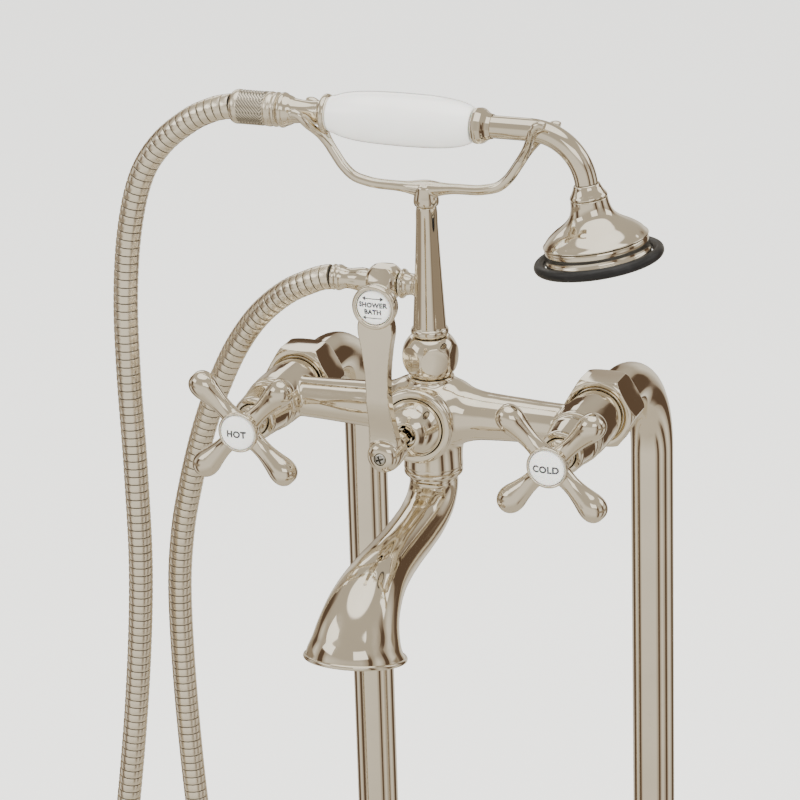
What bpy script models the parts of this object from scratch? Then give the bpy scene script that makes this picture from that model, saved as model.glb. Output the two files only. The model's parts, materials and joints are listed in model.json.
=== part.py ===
"""Bath and shower faucet on two floor risers, with a handset on a cradle.

Frame: +X to the cold side, -Y towards the user, +Z up. The origin is on the floor, midway between
the two risers. Pieces of the faucet are placed from an empty at the valve centre, where the bridge,
the diverter and the column axes meet. Profiles and outlines are in millimetres.
"""

import math

import bmesh
import bpy
from mathutils import Matrix, Vector

# ---------------------------------------------------------------- driving dimensions, metres
MM = 0.001
GAP = 0.3 * MM                      # clearance kept between pieces that touch
VALVE_HEIGHT = 0.690                # valve centre above the floor
RISER_BACK = 0.118                  # risers stand this far behind the valve centre
HALF_CENTRES = 0.089                # valve axes are 178 mm apart
RISER_RADIUS = 12.2 * MM
RISER_WALL = 1.6 * MM
RISER_BEND = 55.6 * MM
SPOUT_WALL = 2.0 * MM
COLUMN_TOP = 118.0                  # mm above the valve centre
OUTLET_HEIGHT = 72.2                # mm, axis of the column's side branch
HANDSET_HEIGHT = 165.2              # mm, axis of the handset's grip
ELBOW_START = 60.5                  # mm along the handset axis
ELBOW_BEND = 31.0                   # mm, bend radius of the handset's elbow
ELBOW_SWEEP = 81.0                  # degrees
ELBOW_TAIL = 0.8                    # mm, straight end of the elbow inside its collar
CRADLE_CORNER = (43.2, 128.6)       # mm, where the cradle's rod turns up
FORK_ROOT = (57.0, 150.4)           # mm, where the rod splits into a fork
BUMPER_RADIUS = 32.2                # mm, middle of the rubber bumper ring
BUMPER_THICK = 3.0                  # mm, radius of the ring's section
BUMPER_DROP = -41.6                 # mm, height of the ring below the elbow's end
CRADLE_ROD = 2.9                    # mm, radius of the cradle's rod
FORK_PRONG = 2.6                    # mm, radius of each prong at its root
HOSE_DIAMETER = 14.0 * MM
HOSE_POINT_SPACING = 30.0 * MM

FINE = 16                           # sides of the large turned pieces
PLAIN = 12                          # sides of the smaller visible ones
SMALL = 8                           # sides of what stays hidden
TUBE_SIDES_FINE = 3                 # bevel resolution, 10 sides
TUBE_SIDES_PLAIN = 2                # bevel resolution, 8 sides
BORE_SPIN = math.radians(4)         # turns a bore's seam away from the seams around it
MERGE = 0.00001

# The hose's route from the outlet ferrule to the handset, metres, chosen by hand.
HOSE_ROUTE = [
    (-0.0592, -0.1180, 0.7616), (-0.0690, -0.1178, 0.7585), (-0.0850, -0.1165, 0.7500),
    (-0.1030, -0.1140, 0.7345), (-0.1190, -0.1105, 0.7135), (-0.1330, -0.1065, 0.6880),
    (-0.1455, -0.1030, 0.6590), (-0.1570, -0.1005, 0.6230), (-0.1650, -0.0995, 0.5880),
    (-0.1690, -0.0990, 0.5450), (-0.1680, -0.0990, 0.4700), (-0.1630, -0.0990, 0.3900),
    (-0.1530, -0.0990, 0.3100), (-0.1400, -0.0990, 0.2350), (-0.1300, -0.1000, 0.1850),
    (-0.1310, -0.1020, 0.1420), (-0.1480, -0.1055, 0.1060), (-0.1800, -0.1110, 0.0920),
    (-0.2130, -0.1165, 0.1050), (-0.2330, -0.1205, 0.1400), (-0.2370, -0.1230, 0.1850),
    (-0.2290, -0.1245, 0.2450), (-0.2140, -0.1255, 0.3250), (-0.1990, -0.1260, 0.4100),
    (-0.1870, -0.1260, 0.4950), (-0.1805, -0.1255, 0.5700), (-0.1800, -0.1250, 0.6350),
    (-0.1815, -0.1240, 0.6950), (-0.1815, -0.1220, 0.7400), (-0.1775, -0.1200, 0.7800),
    (-0.1690, -0.1188, 0.8110), (-0.1555, -0.1182, 0.8310), (-0.1375, -0.1180, 0.8455),
    (-0.1240, -0.1180, 0.8522), (-0.1145, -0.1180, 0.8549),
]

# ---------------------------------------------------------------- where a turned piece points
UP = (0.0, 0.0, 0.0)
FRONT = (math.pi / 2, 0.0, 0.0)     # local +Z towards the user, world -Y
RIGHT = (0.0, math.pi / 2, 0.0)     # local +Z towards the cold side, world +X
LEFT = (0.0, -math.pi / 2, 0.0)     # local +Z towards the hot side, world -X


# ---------------------------------------------------------------- scene and materials
def clear_scene():
    """Remove every object, so that the script starts from nothing."""
    for obj in list(bpy.data.objects):
        bpy.data.objects.remove(obj, do_unlink=True)


def new_collection(name):
    collection = bpy.data.collections.new(name)
    bpy.context.scene.collection.children.link(collection)
    return collection


def finish_material(name, colour, roughness, metallic):
    mat = bpy.data.materials.new(name)
    mat.use_nodes = True
    shader = mat.node_tree.nodes["Principled BSDF"]
    shader.inputs["Base Color"].default_value = (*colour, 1.0)
    shader.inputs["Roughness"].default_value = roughness
    shader.inputs["Metallic"].default_value = metallic
    mat.diffuse_color = (*colour, 1.0)
    return mat


clear_scene()
PARTS = new_collection("bath_shower_faucet")
CUTTERS = new_collection("cutters")
NICKEL = ("polished_nickel", (0.80, 0.75, 0.67), 0.08, 1.0)
BRASS = ("plain_brass", (0.78, 0.60, 0.32), 0.30, 1.0)
PORCELAIN = ("white_porcelain", (0.93, 0.93, 0.91), 0.10, 0.0)
RUBBER = ("black_rubber", (0.02, 0.02, 0.02), 0.45, 0.0)
STEEL = ("stainless_steel", (0.62, 0.62, 0.60), 0.25, 1.0)


def dress(obj, name, finish, parent):
    """Name a finished piece, give it its own material and hang it on its parent."""
    obj.name = name
    obj.data.name = name
    obj.data.materials.clear()
    obj.data.materials.append(finish_material(name + "_" + finish[0], *finish[1:]))
    obj.parent = parent
    for step in obj.modifiers:
        if step.type == "BOOLEAN":
            step.object.parent = parent
    return obj


def empty(name, location, parent=None):
    obj = bpy.data.objects.new(name, None)
    obj.location = location
    obj.parent = parent
    PARTS.objects.link(obj)
    return obj


# ---------------------------------------------------------------- shape helpers
def turned(profile, turn=UP, at=(0.0, 0.0, 0.0), steps=PLAIN, spin=0.0):
    """A turned shape. The profile, (radius, height) in mm, runs down the outer side; a profile
    with both ends on the axis is a solid, and any other one is a closed ring section. The
    seam can be spun round the axis, so that a bore's edges miss the edges around it."""
    mesh = bpy.data.meshes.new("turned")
    seam = Vector((math.cos(spin), math.sin(spin), 0.0)) * MM
    verts = [seam * radius + Vector((0.0, 0.0, height * MM)) for radius, height in profile]
    edges = [(i, i + 1) for i in range(len(verts) - 1)]
    if profile[0][0] > 0.0 or profile[-1][0] > 0.0:
        edges.append((len(verts) - 1, 0))
    mesh.from_pydata(verts, edges, [])
    obj = bpy.data.objects.new("turned", mesh)
    PARTS.objects.link(obj)
    screw = obj.modifiers.new("Screw", "SCREW")
    screw.steps = steps
    screw.render_steps = steps
    screw.use_merge_vertices = True
    screw.merge_threshold = MERGE
    screw.use_smooth_shade = True
    obj.rotation_euler = turn
    obj.location = [value * MM for value in at]
    return obj


def closed_tube(points, radius, radii=None, sides=TUBE_SIDES_PLAIN, caps=True):
    """A round bar along points in metres; radii scales the radius at each point."""
    data = bpy.data.curves.new("tube", "CURVE")
    data.dimensions = "3D"
    data.bevel_depth = radius
    data.bevel_resolution = sides
    data.use_fill_caps = caps
    spline = data.splines.new("POLY")
    spline.points.add(len(points) - 1)
    for index, point in enumerate(points):
        spline.points[index].co = (*point, 1.0)
        spline.points[index].radius = 1.0 if radii is None else radii[index]
    obj = bpy.data.objects.new("tube", data)
    PARTS.objects.link(obj)
    return obj


def walled_tube(points, radius, wall, radii=None, sides=TUBE_SIDES_FINE):
    """An open pipe: a bare tube surface that Solidify thickens inwards."""
    obj = closed_tube(points, radius, radii, sides, caps=False)
    shell = obj.modifiers.new("Solidify", "SOLIDIFY")
    shell.thickness = wall
    shell.offset = -1.0
    shell.use_even_offset = True
    return obj


def as_mesh(obj):
    """Turn a curve object into a mesh object at the same place, with its caps welded."""
    bpy.context.view_layer.update()
    evaluated = obj.evaluated_get(bpy.context.evaluated_depsgraph_get())
    mesh = bpy.data.meshes.new_from_object(evaluated)
    work = bmesh.new()
    work.from_mesh(mesh)
    bmesh.ops.remove_doubles(work, verts=work.verts, dist=MERGE)
    work.to_mesh(mesh)
    work.free()
    result = bpy.data.objects.new(obj.name, mesh)
    result.matrix_world = obj.matrix_world.copy()
    PARTS.objects.link(result)
    bpy.data.objects.remove(obj, do_unlink=True)
    return result


def combine(base, other, operation):
    """Boolean other with base; other becomes a hidden wire guide."""
    PARTS.objects.unlink(other)
    CUTTERS.objects.link(other)
    other.hide_render = True
    other.display_type = "WIRE"
    step = base.modifiers.new(operation.title(), "BOOLEAN")
    step.operation = operation
    step.solver = "EXACT"
    step.object = other
    return base


def join(base, *others):
    for other in others:
        combine(base, other, "UNION")
    return base


def cut(base, *others):
    for other in others:
        combine(base, other, "DIFFERENCE")
    return base


def prism(sides, flat_radius, low, high, turn=UP, at=(0.0, 0.0, 0.0), spin=0.0):
    """A straight prism from low to high along its axis; flat_radius reaches its flats, mm."""
    mesh = bpy.data.meshes.new("prism")
    work = bmesh.new()
    radius = flat_radius / math.cos(math.pi / sides) * MM
    bmesh.ops.create_cone(work, cap_ends=True, segments=sides, radius1=radius, radius2=radius,
                          depth=(high - low) * MM)
    shift = Matrix.Translation((0.0, 0.0, (high + low) / 2 * MM))
    bmesh.ops.transform(work, matrix=shift @ Matrix.Rotation(spin, 4, "Z"), verts=work.verts)
    work.to_mesh(mesh)
    work.free()
    obj = bpy.data.objects.new("prism", mesh)
    PARTS.objects.link(obj)
    obj.rotation_euler = turn
    obj.location = [value * MM for value in at]
    return obj


def rounded_path(corners, radius, arc_steps):
    """Points along straight runs whose inner corners are rounded to a radius, in metres."""
    corners = [Vector(corner) for corner in corners]
    points = [corners[0]]
    for before, here, after in zip(corners, corners[1:], corners[2:]):
        into = (here - before).normalized()
        out = (after - here).normalized()
        angle = into.angle(out)
        setback = radius * math.tan(angle / 2)
        middle = here + (out - into).normalized() * (radius / math.cos(angle / 2))
        first = here - into * setback - middle
        for step in range(arc_steps + 1):
            turn = Matrix.Rotation(angle * step / arc_steps, 3, into.cross(out))
            points.append(middle + turn @ first)
    points.append(corners[-1])
    return points


def smooth_path(route, spacing):
    """A Catmull-Rom curve through the route's points, resampled at an even spacing."""
    knots = [Vector(point) for point in route]
    knots = [2 * knots[0] - knots[1]] + knots + [2 * knots[-1] - knots[-2]]
    dense = []
    for a, b, c, d in zip(knots, knots[1:], knots[2:], knots[3:]):
        for step in range(20):
            t = step / 20
            dense.append(0.5 * (2 * b + (c - a) * t + (2 * a - 5 * b + 4 * c - d) * t * t
                                + (3 * b - a - 3 * c + d) * t ** 3))
    dense.append(knots[-2])
    lengths = [0.0]
    for a, b in zip(dense, dense[1:]):
        lengths.append(lengths[-1] + (b - a).length)
    count = round(lengths[-1] / spacing)
    points = []
    index = 0
    for number in range(count + 1):
        target = lengths[-1] * number / count
        while index < len(lengths) - 2 and lengths[index + 1] < target:
            index += 1
        part = (target - lengths[index]) / (lengths[index + 1] - lengths[index])
        points.append(dense[index].lerp(dense[index + 1], part))
    return points


def ball_nut(radius, flats, flat_radius, low, high, bore, centre, turn, at, spin):
    """A ball shaped nut with round flats, open along its axis."""
    span = math.acos(high / radius), math.acos(low / radius)
    rows = 9
    profile = [(bore, centre + high)]
    for row in range(rows):
        angle = span[0] + (span[1] - span[0]) * row / (rows - 1)
        profile.append((radius * math.sin(angle), centre + radius * math.cos(angle)))
    profile.append((bore, centre + low))
    nut = turned(profile, turn, at, FINE)
    block = prism(flats, flat_radius, centre + 2 * low, centre + 2 * high, turn, at, spin)
    return combine(nut, block, "INTERSECT")


# ---------------------------------------------------------------- body
def make_body(centre):
    """One casting: hub, bridge arms, valve barrels and diverter boss, bored right through."""
    hub = turned([(0, 21), (12.2, 21), (12.9, 19.4), (13.9, 16), (16.4, 12), (19.2, 7.5), (20.4, 2),
                  (20.4, -7), (18.9, -13), (17.2, -18), (16.5, -24), (16.4, -32.7), (0, -32.7)],
                 steps=FINE)
    half_arm = [(11.1, 80), (11.5, 68), (12.1, 54), (12.9, 38), (13.9, 28), (15.6, 22), (18.4, 16)]
    arm_profile = [(0, 80)] + half_arm + [(r, -x) for r, x in reversed(half_arm)] + [(0, -80)]
    arms = turned(arm_profile, RIGHT, steps=FINE)
    boss = turned([(0, 28.4), (20.2, 28.4), (21.4, 27.2), (21.5, 25), (20.6, 23.4), (18.6, 22),
                   (17.8, 18), (17.8, 4), (0, 4)], FRONT, steps=FINE)
    join(hub, arms, boss)
    barrel_profile = [(0, 18.6), (13.8, 18.6), (14.6, 17.8), (15.0, 15.5), (15.1, -21.4),
                      (15.5, -22.0), (15.5, -32), (0, -32)]
    bore_profile = [(0, 20), (11, 20), (11, -12), (8, -12), (8, -34), (0, -34)]
    sides = (-1, 1)
    for side in sides:
        place = (side * HALF_CENTRES / MM, 0, 0)
        join(hub, turned(barrel_profile, FRONT, place, FINE))
    for side in sides:
        place = (side * HALF_CENTRES / MM, 0, 0)
        cut(hub, turned(bore_profile, FRONT, place, FINE, BORE_SPIN))
    crossway = turned([(0, 84), (5.5, 84), (5.5, -84), (0, -84)], RIGHT, steps=SMALL, spin=BORE_SPIN)
    chamber = turned([(0, 30), (17.4, 30), (17.4, 20), (12, 20), (12, 5), (9.9, 5), (9.9, -10),
                      (0, -10)], FRONT, steps=FINE, spin=BORE_SPIN)
    spoutway = turned([(0, 1), (6, 1), (6, -14), (9, -14), (9, -34), (0, -34)], steps=FINE,
                      spin=BORE_SPIN)
    columnway = turned([(0, 23), (8.7, 23), (8.7, 17.4), (4.2, 17.4), (4.2, -1), (0, -1)],
                       steps=FINE, spin=BORE_SPIN)
    cut(hub, crossway, chamber, spoutway, columnway)
    dress(hub, "body_casting", NICKEL, centre)


# ---------------------------------------------------------------- supply side
def make_supply(side, word, centre, base):
    """Riser, ferrule, washer and union nut of one side, and its floor flange."""
    x = side * HALF_CENTRES
    start = Vector((x, -RISER_BACK + 34.9 * MM, VALVE_HEIGHT))
    corner = Vector((x, 0.0, VALVE_HEIGHT))
    foot = Vector((x, 0.0, 0.0))
    riser = walled_tube(rounded_path([start, corner, foot], RISER_BEND, 9), RISER_RADIUS, RISER_WALL)
    dress(riser, word + "_riser", NICKEL, None)
    place = (x / MM, 0, 0)
    washer = turned([(9, -32.3), (14.6, -32.3), (14.6, -34.2), (9, -34.2)], FRONT, place, SMALL)
    dress(washer, word + "_union_washer", RUBBER, centre)
    ferrule = turned([(12.6, -34.6), (15.0, -34.6), (15.0, -37.4), (12.6, -37.4)], FRONT, place, FINE)
    dress(ferrule, word + "_riser_ferrule", BRASS, centre)
    nut = turned([(17.2, -20.0), (19.6, -20.0), (20.9, -21.4), (21.6, -23.4), (21.6, -38.2),
                  (20.6, -40.2), (19.2, -41.4), (12.6, -41.4), (12.6, -37.8), (15.9, -37.8),
                  (15.9, -23.0), (17.2, -22.4)], FRONT, place, FINE)
    block = prism(6, 18.7, -45, -15, FRONT, place, spin=math.radians(90))
    combine(nut, block, "INTERSECT")
    dress(nut, word + "_union_nut", NICKEL, centre)
    flange = turned([(12.6, 26), (15.6, 26), (16.2, 25.2), (16.2, 15.5), (18, 12), (22.5, 8.2),
                     (28, 5.2), (31.2, 3.9), (32, 2.6), (32, 0), (12.6, 0)], UP, place, FINE)
    hole = turned([(0, 20), (2.3, 20), (2.3, 12), (0, 12)], (-math.pi / 2, 0, 0),
                  (x / MM, 0, 20), SMALL)
    cut(flange, hole)
    dress(flange, word + "_floor_flange", NICKEL, base)
    screw = turned([(0, 15.9), (2.0, 15.9), (2.0, 12.6), (0, 12.6)], (-math.pi / 2, 0, 0),
                   (x / MM, 0, 20), SMALL)
    dress(screw, word + "_flange_screw", STEEL, base)


# ---------------------------------------------------------------- valves and cross handles
def make_valve(side, word, centre):
    """Cartridge, seal, bonnet, gland nut and spindle of one side, on the barrel's axis."""
    place = (side * HALF_CENTRES / MM, 0, 0)
    seal = turned([(8.4, -9.9), (10.5, -9.9), (10.5, -11.7), (8.4, -11.7)], FRONT, place, SMALL)
    dress(seal, word + "_valve_seal", RUBBER, centre)
    cartridge = turned([(0, -4.4), (4.3, -4.4), (4.3, 34), (8.9, 34), (8.9, 15.4), (10.5, 15.2),
                        (10.5, -9.6), (0, -9.6)], FRONT, place, SMALL)
    dress(cartridge, word + "_valve_cartridge", BRASS, centre)
    bonnet = turned([(9.3, 42.4), (11.4, 42.4), (12.4, 41.2), (12.8, 36), (13.4, 29), (14.0, 22.4),
                     (14.1, 20), (13.6, 18.9), (10.5, 18.9), (10.5, 15.8), (9.3, 15.8)],
                    FRONT, place, FINE)
    dress(bonnet, word + "_valve_bonnet", NICKEL, centre)
    gland = turned([(4.4, 45.6), (6.2, 45.3), (7.9, 44.2), (8.8, 42.2), (8.8, 34.3), (4.4, 34.3)],
                   FRONT, place, PLAIN)
    dress(gland, word + "_gland_nut", NICKEL, centre)
    spindle = turned([(0, 44), (2.2, 44), (2.2, 54), (4.0, 54), (4.0, -4), (0, -4)],
                     FRONT, place, SMALL)
    dress(spindle, word + "_valve_spindle", BRASS, centre)


def make_handle(side, word, centre):
    """Cross handle with four teardrop arms, its screw and its porcelain button."""
    place = (side * HALF_CENTRES / MM, 0, 0)
    hub = turned([(10.2, 64.4), (11.1, 64.2), (11.5, 63.0), (11.0, 60.6), (9.8, 57.0), (8.6, 52.5),
                  (7.4, 48.6), (7.0, 46.2), (4.3, 46.2), (4.3, 54.4), (2.2, 54.4), (2.2, 56.6),
                  (4.4, 56.6), (4.4, 62.5), (10.2, 62.5)], FRONT, place, PLAIN)
    teardrop = [(0, 39.6), (3.5, 38.8), (5.8, 36.6), (7.2, 32.4), (6.6, 27.6), (4.9, 22),
                (4.2, 17.0), (4.7, 11.0), (5.6, 6.0), (0, 6.0)]
    for quarter in range(4):
        lean = math.radians(45 + 90 * quarter)
        arm = turned(teardrop, (0, lean, 0), (place[0], -56.5, 0), SMALL)
        join(hub, arm)
    dress(hub, word + "_handle", NICKEL, centre)
    screw = turned([(0, 60.0), (2.6, 59.8), (3.9, 58.6), (3.9, 56.9), (1.9, 56.9), (1.9, 45),
                    (0, 45)], FRONT, place, SMALL)
    dress(screw, word + "_handle_screw", STEEL, centre)
    button = turned([(0, 66.1), (3.4, 65.9), (6.6, 65.3), (9.0, 64.4), (9.9, 63.5), (9.9, 62.8),
                     (0, 62.8)], FRONT, place, PLAIN)
    dress(button, word + "_index_button", PORCELAIN, centre)


# ---------------------------------------------------------------- diverter
def lever_outline():
    """Half widths of the lever against height, then its round head, as one closed outline."""
    flank = [(7.4, 0), (7.0, 8), (6.1, 18), (5.5, 30), (5.3, 42), (6.0, 53), (7.4, 64), (8.4, 73)]
    head_height, head_radius, opening = 86.0, 10.8, math.radians(-36)
    arc = []
    steps = 6
    for step in range(steps + 1):
        angle = opening + (math.pi - 2 * opening) * step / steps
        arc.append((head_radius * math.cos(angle), head_height + head_radius * math.sin(angle)))
    return flank + arc + [(-w, h) for w, h in reversed(flank)]


def make_lever(centre):
    data = bpy.data.curves.new("lever", "CURVE")
    data.dimensions = "2D"
    data.fill_mode = "BOTH"
    data.extrude = 3.7 * MM
    spline = data.splines.new("POLY")
    outline = lever_outline()
    spline.points.add(len(outline) - 1)
    spline.use_cyclic_u = True
    for index, (across, height) in enumerate(outline):
        spline.points[index].co = (across * MM, height * MM, 0.0, 1.0)
    flat = bpy.data.objects.new("lever", data)
    PARTS.objects.link(flat)
    flat.rotation_euler = FRONT
    flat.location = (0.0, -76.2 * MM, 0.0)
    lever = as_mesh(flat)
    head = turned([(0, 80.2), (11.2, 80.2), (12.0, 79.4), (12.3, 77.0), (11.9, 72.6), (10.4, 71.4),
                   (0, 71.4)], FRONT, (0, 0, 86), PLAIN)
    boss = turned([(0, 81.8), (3.6, 81.4), (6.6, 79.6), (8.2, 76.6), (8.6, 73), (8.6, 59), (7.6, 58),
                   (0, 58)], FRONT, steps=PLAIN, spin=BORE_SPIN)
    join(lever, head, boss)
    bore = turned([(0, 84), (3.5, 84), (3.5, 77.2), (2.2, 77.2), (2.2, 70), (4.8, 70), (4.8, 56),
                   (0, 56)], FRONT, steps=PLAIN, spin=2 * BORE_SPIN)
    recess = turned([(0, 82), (9.9, 82), (9.9, 78.2), (0, 78.2)], FRONT, (0, 0, 86), PLAIN)
    cut(lever, bore, recess)
    dress(lever, "diverter_lever", NICKEL, centre)
    screw = turned([(0, 82.0), (2.0, 81.8), (3.2, 80.8), (3.2, 77.5), (1.9, 77.5), (1.9, 60), (0, 60)],
                   FRONT, steps=SMALL)
    dress(screw, "lever_screw", STEEL, centre)
    button = turned([(0, 81.6), (3.4, 81.4), (6.6, 80.9), (8.9, 80.1), (9.6, 79.4), (9.6, 78.5),
                     (0, 78.5)], FRONT, (0, 0, 86), PLAIN)
    dress(button, "lever_index_button", PORCELAIN, centre)


def make_diverter(centre):
    bonnet = turned([(6.3, 43.4), (8.2, 43.0), (11.5, 40.4), (14.3, 36.0), (16.2, 30.4), (17.0, 24.5),
                     (17.0, 20.4), (11.5, 20.4), (11.5, 5.6), (7.6, 5.6), (7.6, 9.0), (4.9, 9.0),
                     (4.9, 38.0), (6.3, 38.0)], FRONT, steps=FINE)
    dress(bonnet, "diverter_bonnet", NICKEL, centre)
    spool = turned([(0, 4.4), (9.4, 4.4), (9.4, -9.4), (0, -9.4)], FRONT, steps=SMALL)
    dress(spool, "diverter_spool", BRASS, centre)
    seal = turned([(4.9, 8.6), (7.2, 8.6), (7.2, 6.2), (4.9, 6.2)], FRONT, steps=SMALL)
    dress(seal, "diverter_seal", RUBBER, centre)
    spindle = turned([(0, 59), (2.2, 59), (2.2, 69.6), (4.5, 69.6), (4.5, 4.8), (0, 4.8)],
                     FRONT, steps=SMALL)
    dress(spindle, "diverter_spindle", NICKEL, centre)
    make_lever(centre)


# ---------------------------------------------------------------- spout
def make_spout(centre):
    """S-shaped spout that widens to its mouth, with a spigot that turns in the neck."""
    reach = [(0, -38.4), (0, -43.5), (-6, -51), (-20, -56.5), (-36, -59.5), (-53, -61.5),
             (-70, -63.2), (-86, -65.6), (-99, -69.8), (-110, -76.4), (-115.8, -83), (-119.2, -89.4),
             (-120.8, -93.6), (-121.4, -96.4)]
    widths = [13.4, 13.5, 13.6, 13.6, 13.6, 13.8, 14.6, 16.2, 18.3, 20.4, 22.4, 24.4, 26.6, 27.2]
    points = [(0.0, y * MM, z * MM) for y, z in reach]
    base = widths[0]
    pipe = walled_tube(points, base * MM, SPOUT_WALL, [w / base for w in widths])
    spout = as_mesh(pipe)
    spigot = turned([(5.6, -20), (8.7, -20), (8.7, -25.6), (7.2, -25.6), (7.2, -28.4), (8.7, -28.4),
                     (8.7, -37.0), (13.4, -37.0), (13.6, -38.4), (13.4, -39.6), (5.6, -39.6)], steps=FINE)
    join(spout, spigot)
    dress(spout, "spout", NICKEL, centre)
    ring = turned([(7.5, -25.9), (8.6, -25.9), (8.6, -28.1), (7.5, -28.1)], steps=FINE)
    dress(ring, "spout_seal", RUBBER, centre)
    collar = turned([(9.1, -33.0), (15.6, -33.0), (16.3, -33.8), (16.3, -35.4), (15.4, -36.6),
                     (9.1, -36.6)], steps=FINE)
    dress(collar, "spout_collar", NICKEL, centre)


# ---------------------------------------------------------------- column and cradle
def make_column(centre):
    nut = ball_nut(15.6, 6, 13.6, -11.0, 11.2, 8.6, 32.4, UP, (0, 0, 0), 0.0)
    dress(nut, "column_nut", NICKEL, centre)
    washer = turned([(4.4, 18.9), (8.3, 18.9), (8.3, 17.7), (4.4, 17.7)], steps=SMALL)
    dress(washer, "column_washer", RUBBER, centre)
    post = turned([(0, COLUMN_TOP), (5.2, COLUMN_TOP), (5.6, COLUMN_TOP - 0.6), (9.0, 49.5),
                   (9.2, 47.8), (10.3, 47.2), (10.3, 44.6), (9.6, 44.0), (8.2, 44.0), (8.2, 19.2),
                   (0, 19.2)], steps=FINE)
    branch = turned([(0, 24.0), (6.1, 24.0), (6.1, 15.2), (6.5, 15.2), (6.7, 14.4), (6.5, 13.6),
                     (5.8, 13.2), (5.8, 10.4), (6.2, 8.6), (7.0, 7.0), (7.4, 5.6), (0, 5.6)], LEFT, (0, 0, OUTLET_HEIGHT), PLAIN,
                    BORE_SPIN)
    join(post, branch)
    riseway = turned([(0, 78), (3.6, 78), (3.6, 17), (0, 17)], steps=SMALL, spin=BORE_SPIN)
    outway = turned([(0, 26), (3.0, 26), (3.0, -1), (0, -1)], LEFT, (0, 0, OUTLET_HEIGHT), SMALL,
                    3 * BORE_SPIN)
    socket = turned([(0, 120), (3.4, 120), (3.4, 104), (0, 104)], steps=SMALL, spin=2 * BORE_SPIN)
    cut(post, riseway, outway, socket)
    dress(post, "column", NICKEL, centre)
    outlet = ball_nut(11.0, 6, 8.9, -8.8, 8.8, 6.6, 25.6, LEFT, (0, 0, OUTLET_HEIGHT), 0.0)
    dress(outlet, "hose_outlet_nut", NICKEL, centre)
    place = (0, 0, OUTLET_HEIGHT)
    washer = turned([(4.0, 25.6), (6.1, 25.6), (6.1, 24.3), (4.0, 24.3)], LEFT, place, SMALL)
    dress(washer, "hose_outlet_washer", RUBBER, centre)
    ferrule = turned([(4.2, 56.2), (6.9, 56.2), (7.1, 55.2), (6.7, 53.9), (7.1, 52.6), (7.1, 51.0),
                      (6.6, 50.2), (6.6, 35.6), (6.2, 34.8), (6.2, 25.9), (4.2, 25.9)], LEFT, place, PLAIN)
    dress(ferrule, "hose_ferrule", NICKEL, centre)


def fork_prong(side, front):
    """One curved prong of a cradle fork, from the rod's end to its curled tip."""
    rise = Vector((side * (FORK_ROOT[0] - CRADLE_CORNER[0]), 0.0, FORK_ROOT[1] - CRADLE_CORNER[1]))
    rise.normalize()
    outward = Vector((side * rise.z, 0.0, -abs(rise.x)))
    root = Vector((side * FORK_ROOT[0], 0.0, FORK_ROOT[1]))
    shape = [(-4 - 0.3 * front, 0.6, 0), (0, 1.4, 0), (4, 2.8, 0), (8, 5.6, 0), (12, 9.2, 0),
             (16, 11.5, 0), (20, 12.3, 0.2), (22.4, 12.4, 1.4), (23.6, 12.4, 3.6)]
    points = []
    for along, spread, curl in shape:
        points.append((root + rise * along + outward * curl + Vector((0, front * spread, 0))) * MM)
    swell = [1.0, 1.0, 0.95, 0.9, 0.9, 0.9, 0.95, 1.05, 0.8]
    return as_mesh(closed_tube(points, FORK_PRONG * MM, swell, 2))


def make_cradle(centre):
    stem = turned([(0, 130.6), (3.4, 130.4), (5.6, 129.0), (6.6, 126.4), (6.8, 122), (6.6, 118.4),
                   (3.0, 118.4), (3.0, 106), (0, 106)], steps=PLAIN, spin=BORE_SPIN)
    corner_x, corner_z = CRADLE_CORNER
    root_x, root_z = FORK_ROOT
    corners = [(-root_x, 0, root_z), (-corner_x, 0, corner_z), (corner_x, 0, corner_z),
               (root_x, 0, root_z)]
    path = rounded_path([Vector(corner) * MM for corner in corners], 15 * MM, 6)
    rod = as_mesh(closed_tube(path, CRADLE_ROD * MM, None, 3))
    join(stem, rod)
    for side in (-1, 1):
        for front in (-1, 1):
            join(stem, fork_prong(side, front))
    dress(stem, "cradle", NICKEL, centre)


# ---------------------------------------------------------------- handset
def elbow_end():
    """Where the elbow's short last straight ends, in the handset's frame, metres."""
    sweep = math.radians(ELBOW_SWEEP)
    across = ELBOW_START + ELBOW_BEND * math.sin(sweep) + ELBOW_TAIL * math.cos(sweep)
    down = ELBOW_BEND * (math.cos(sweep) - 1) - ELBOW_TAIL * math.sin(sweep)
    return Vector((across, 0.0, down)) * MM


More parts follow.
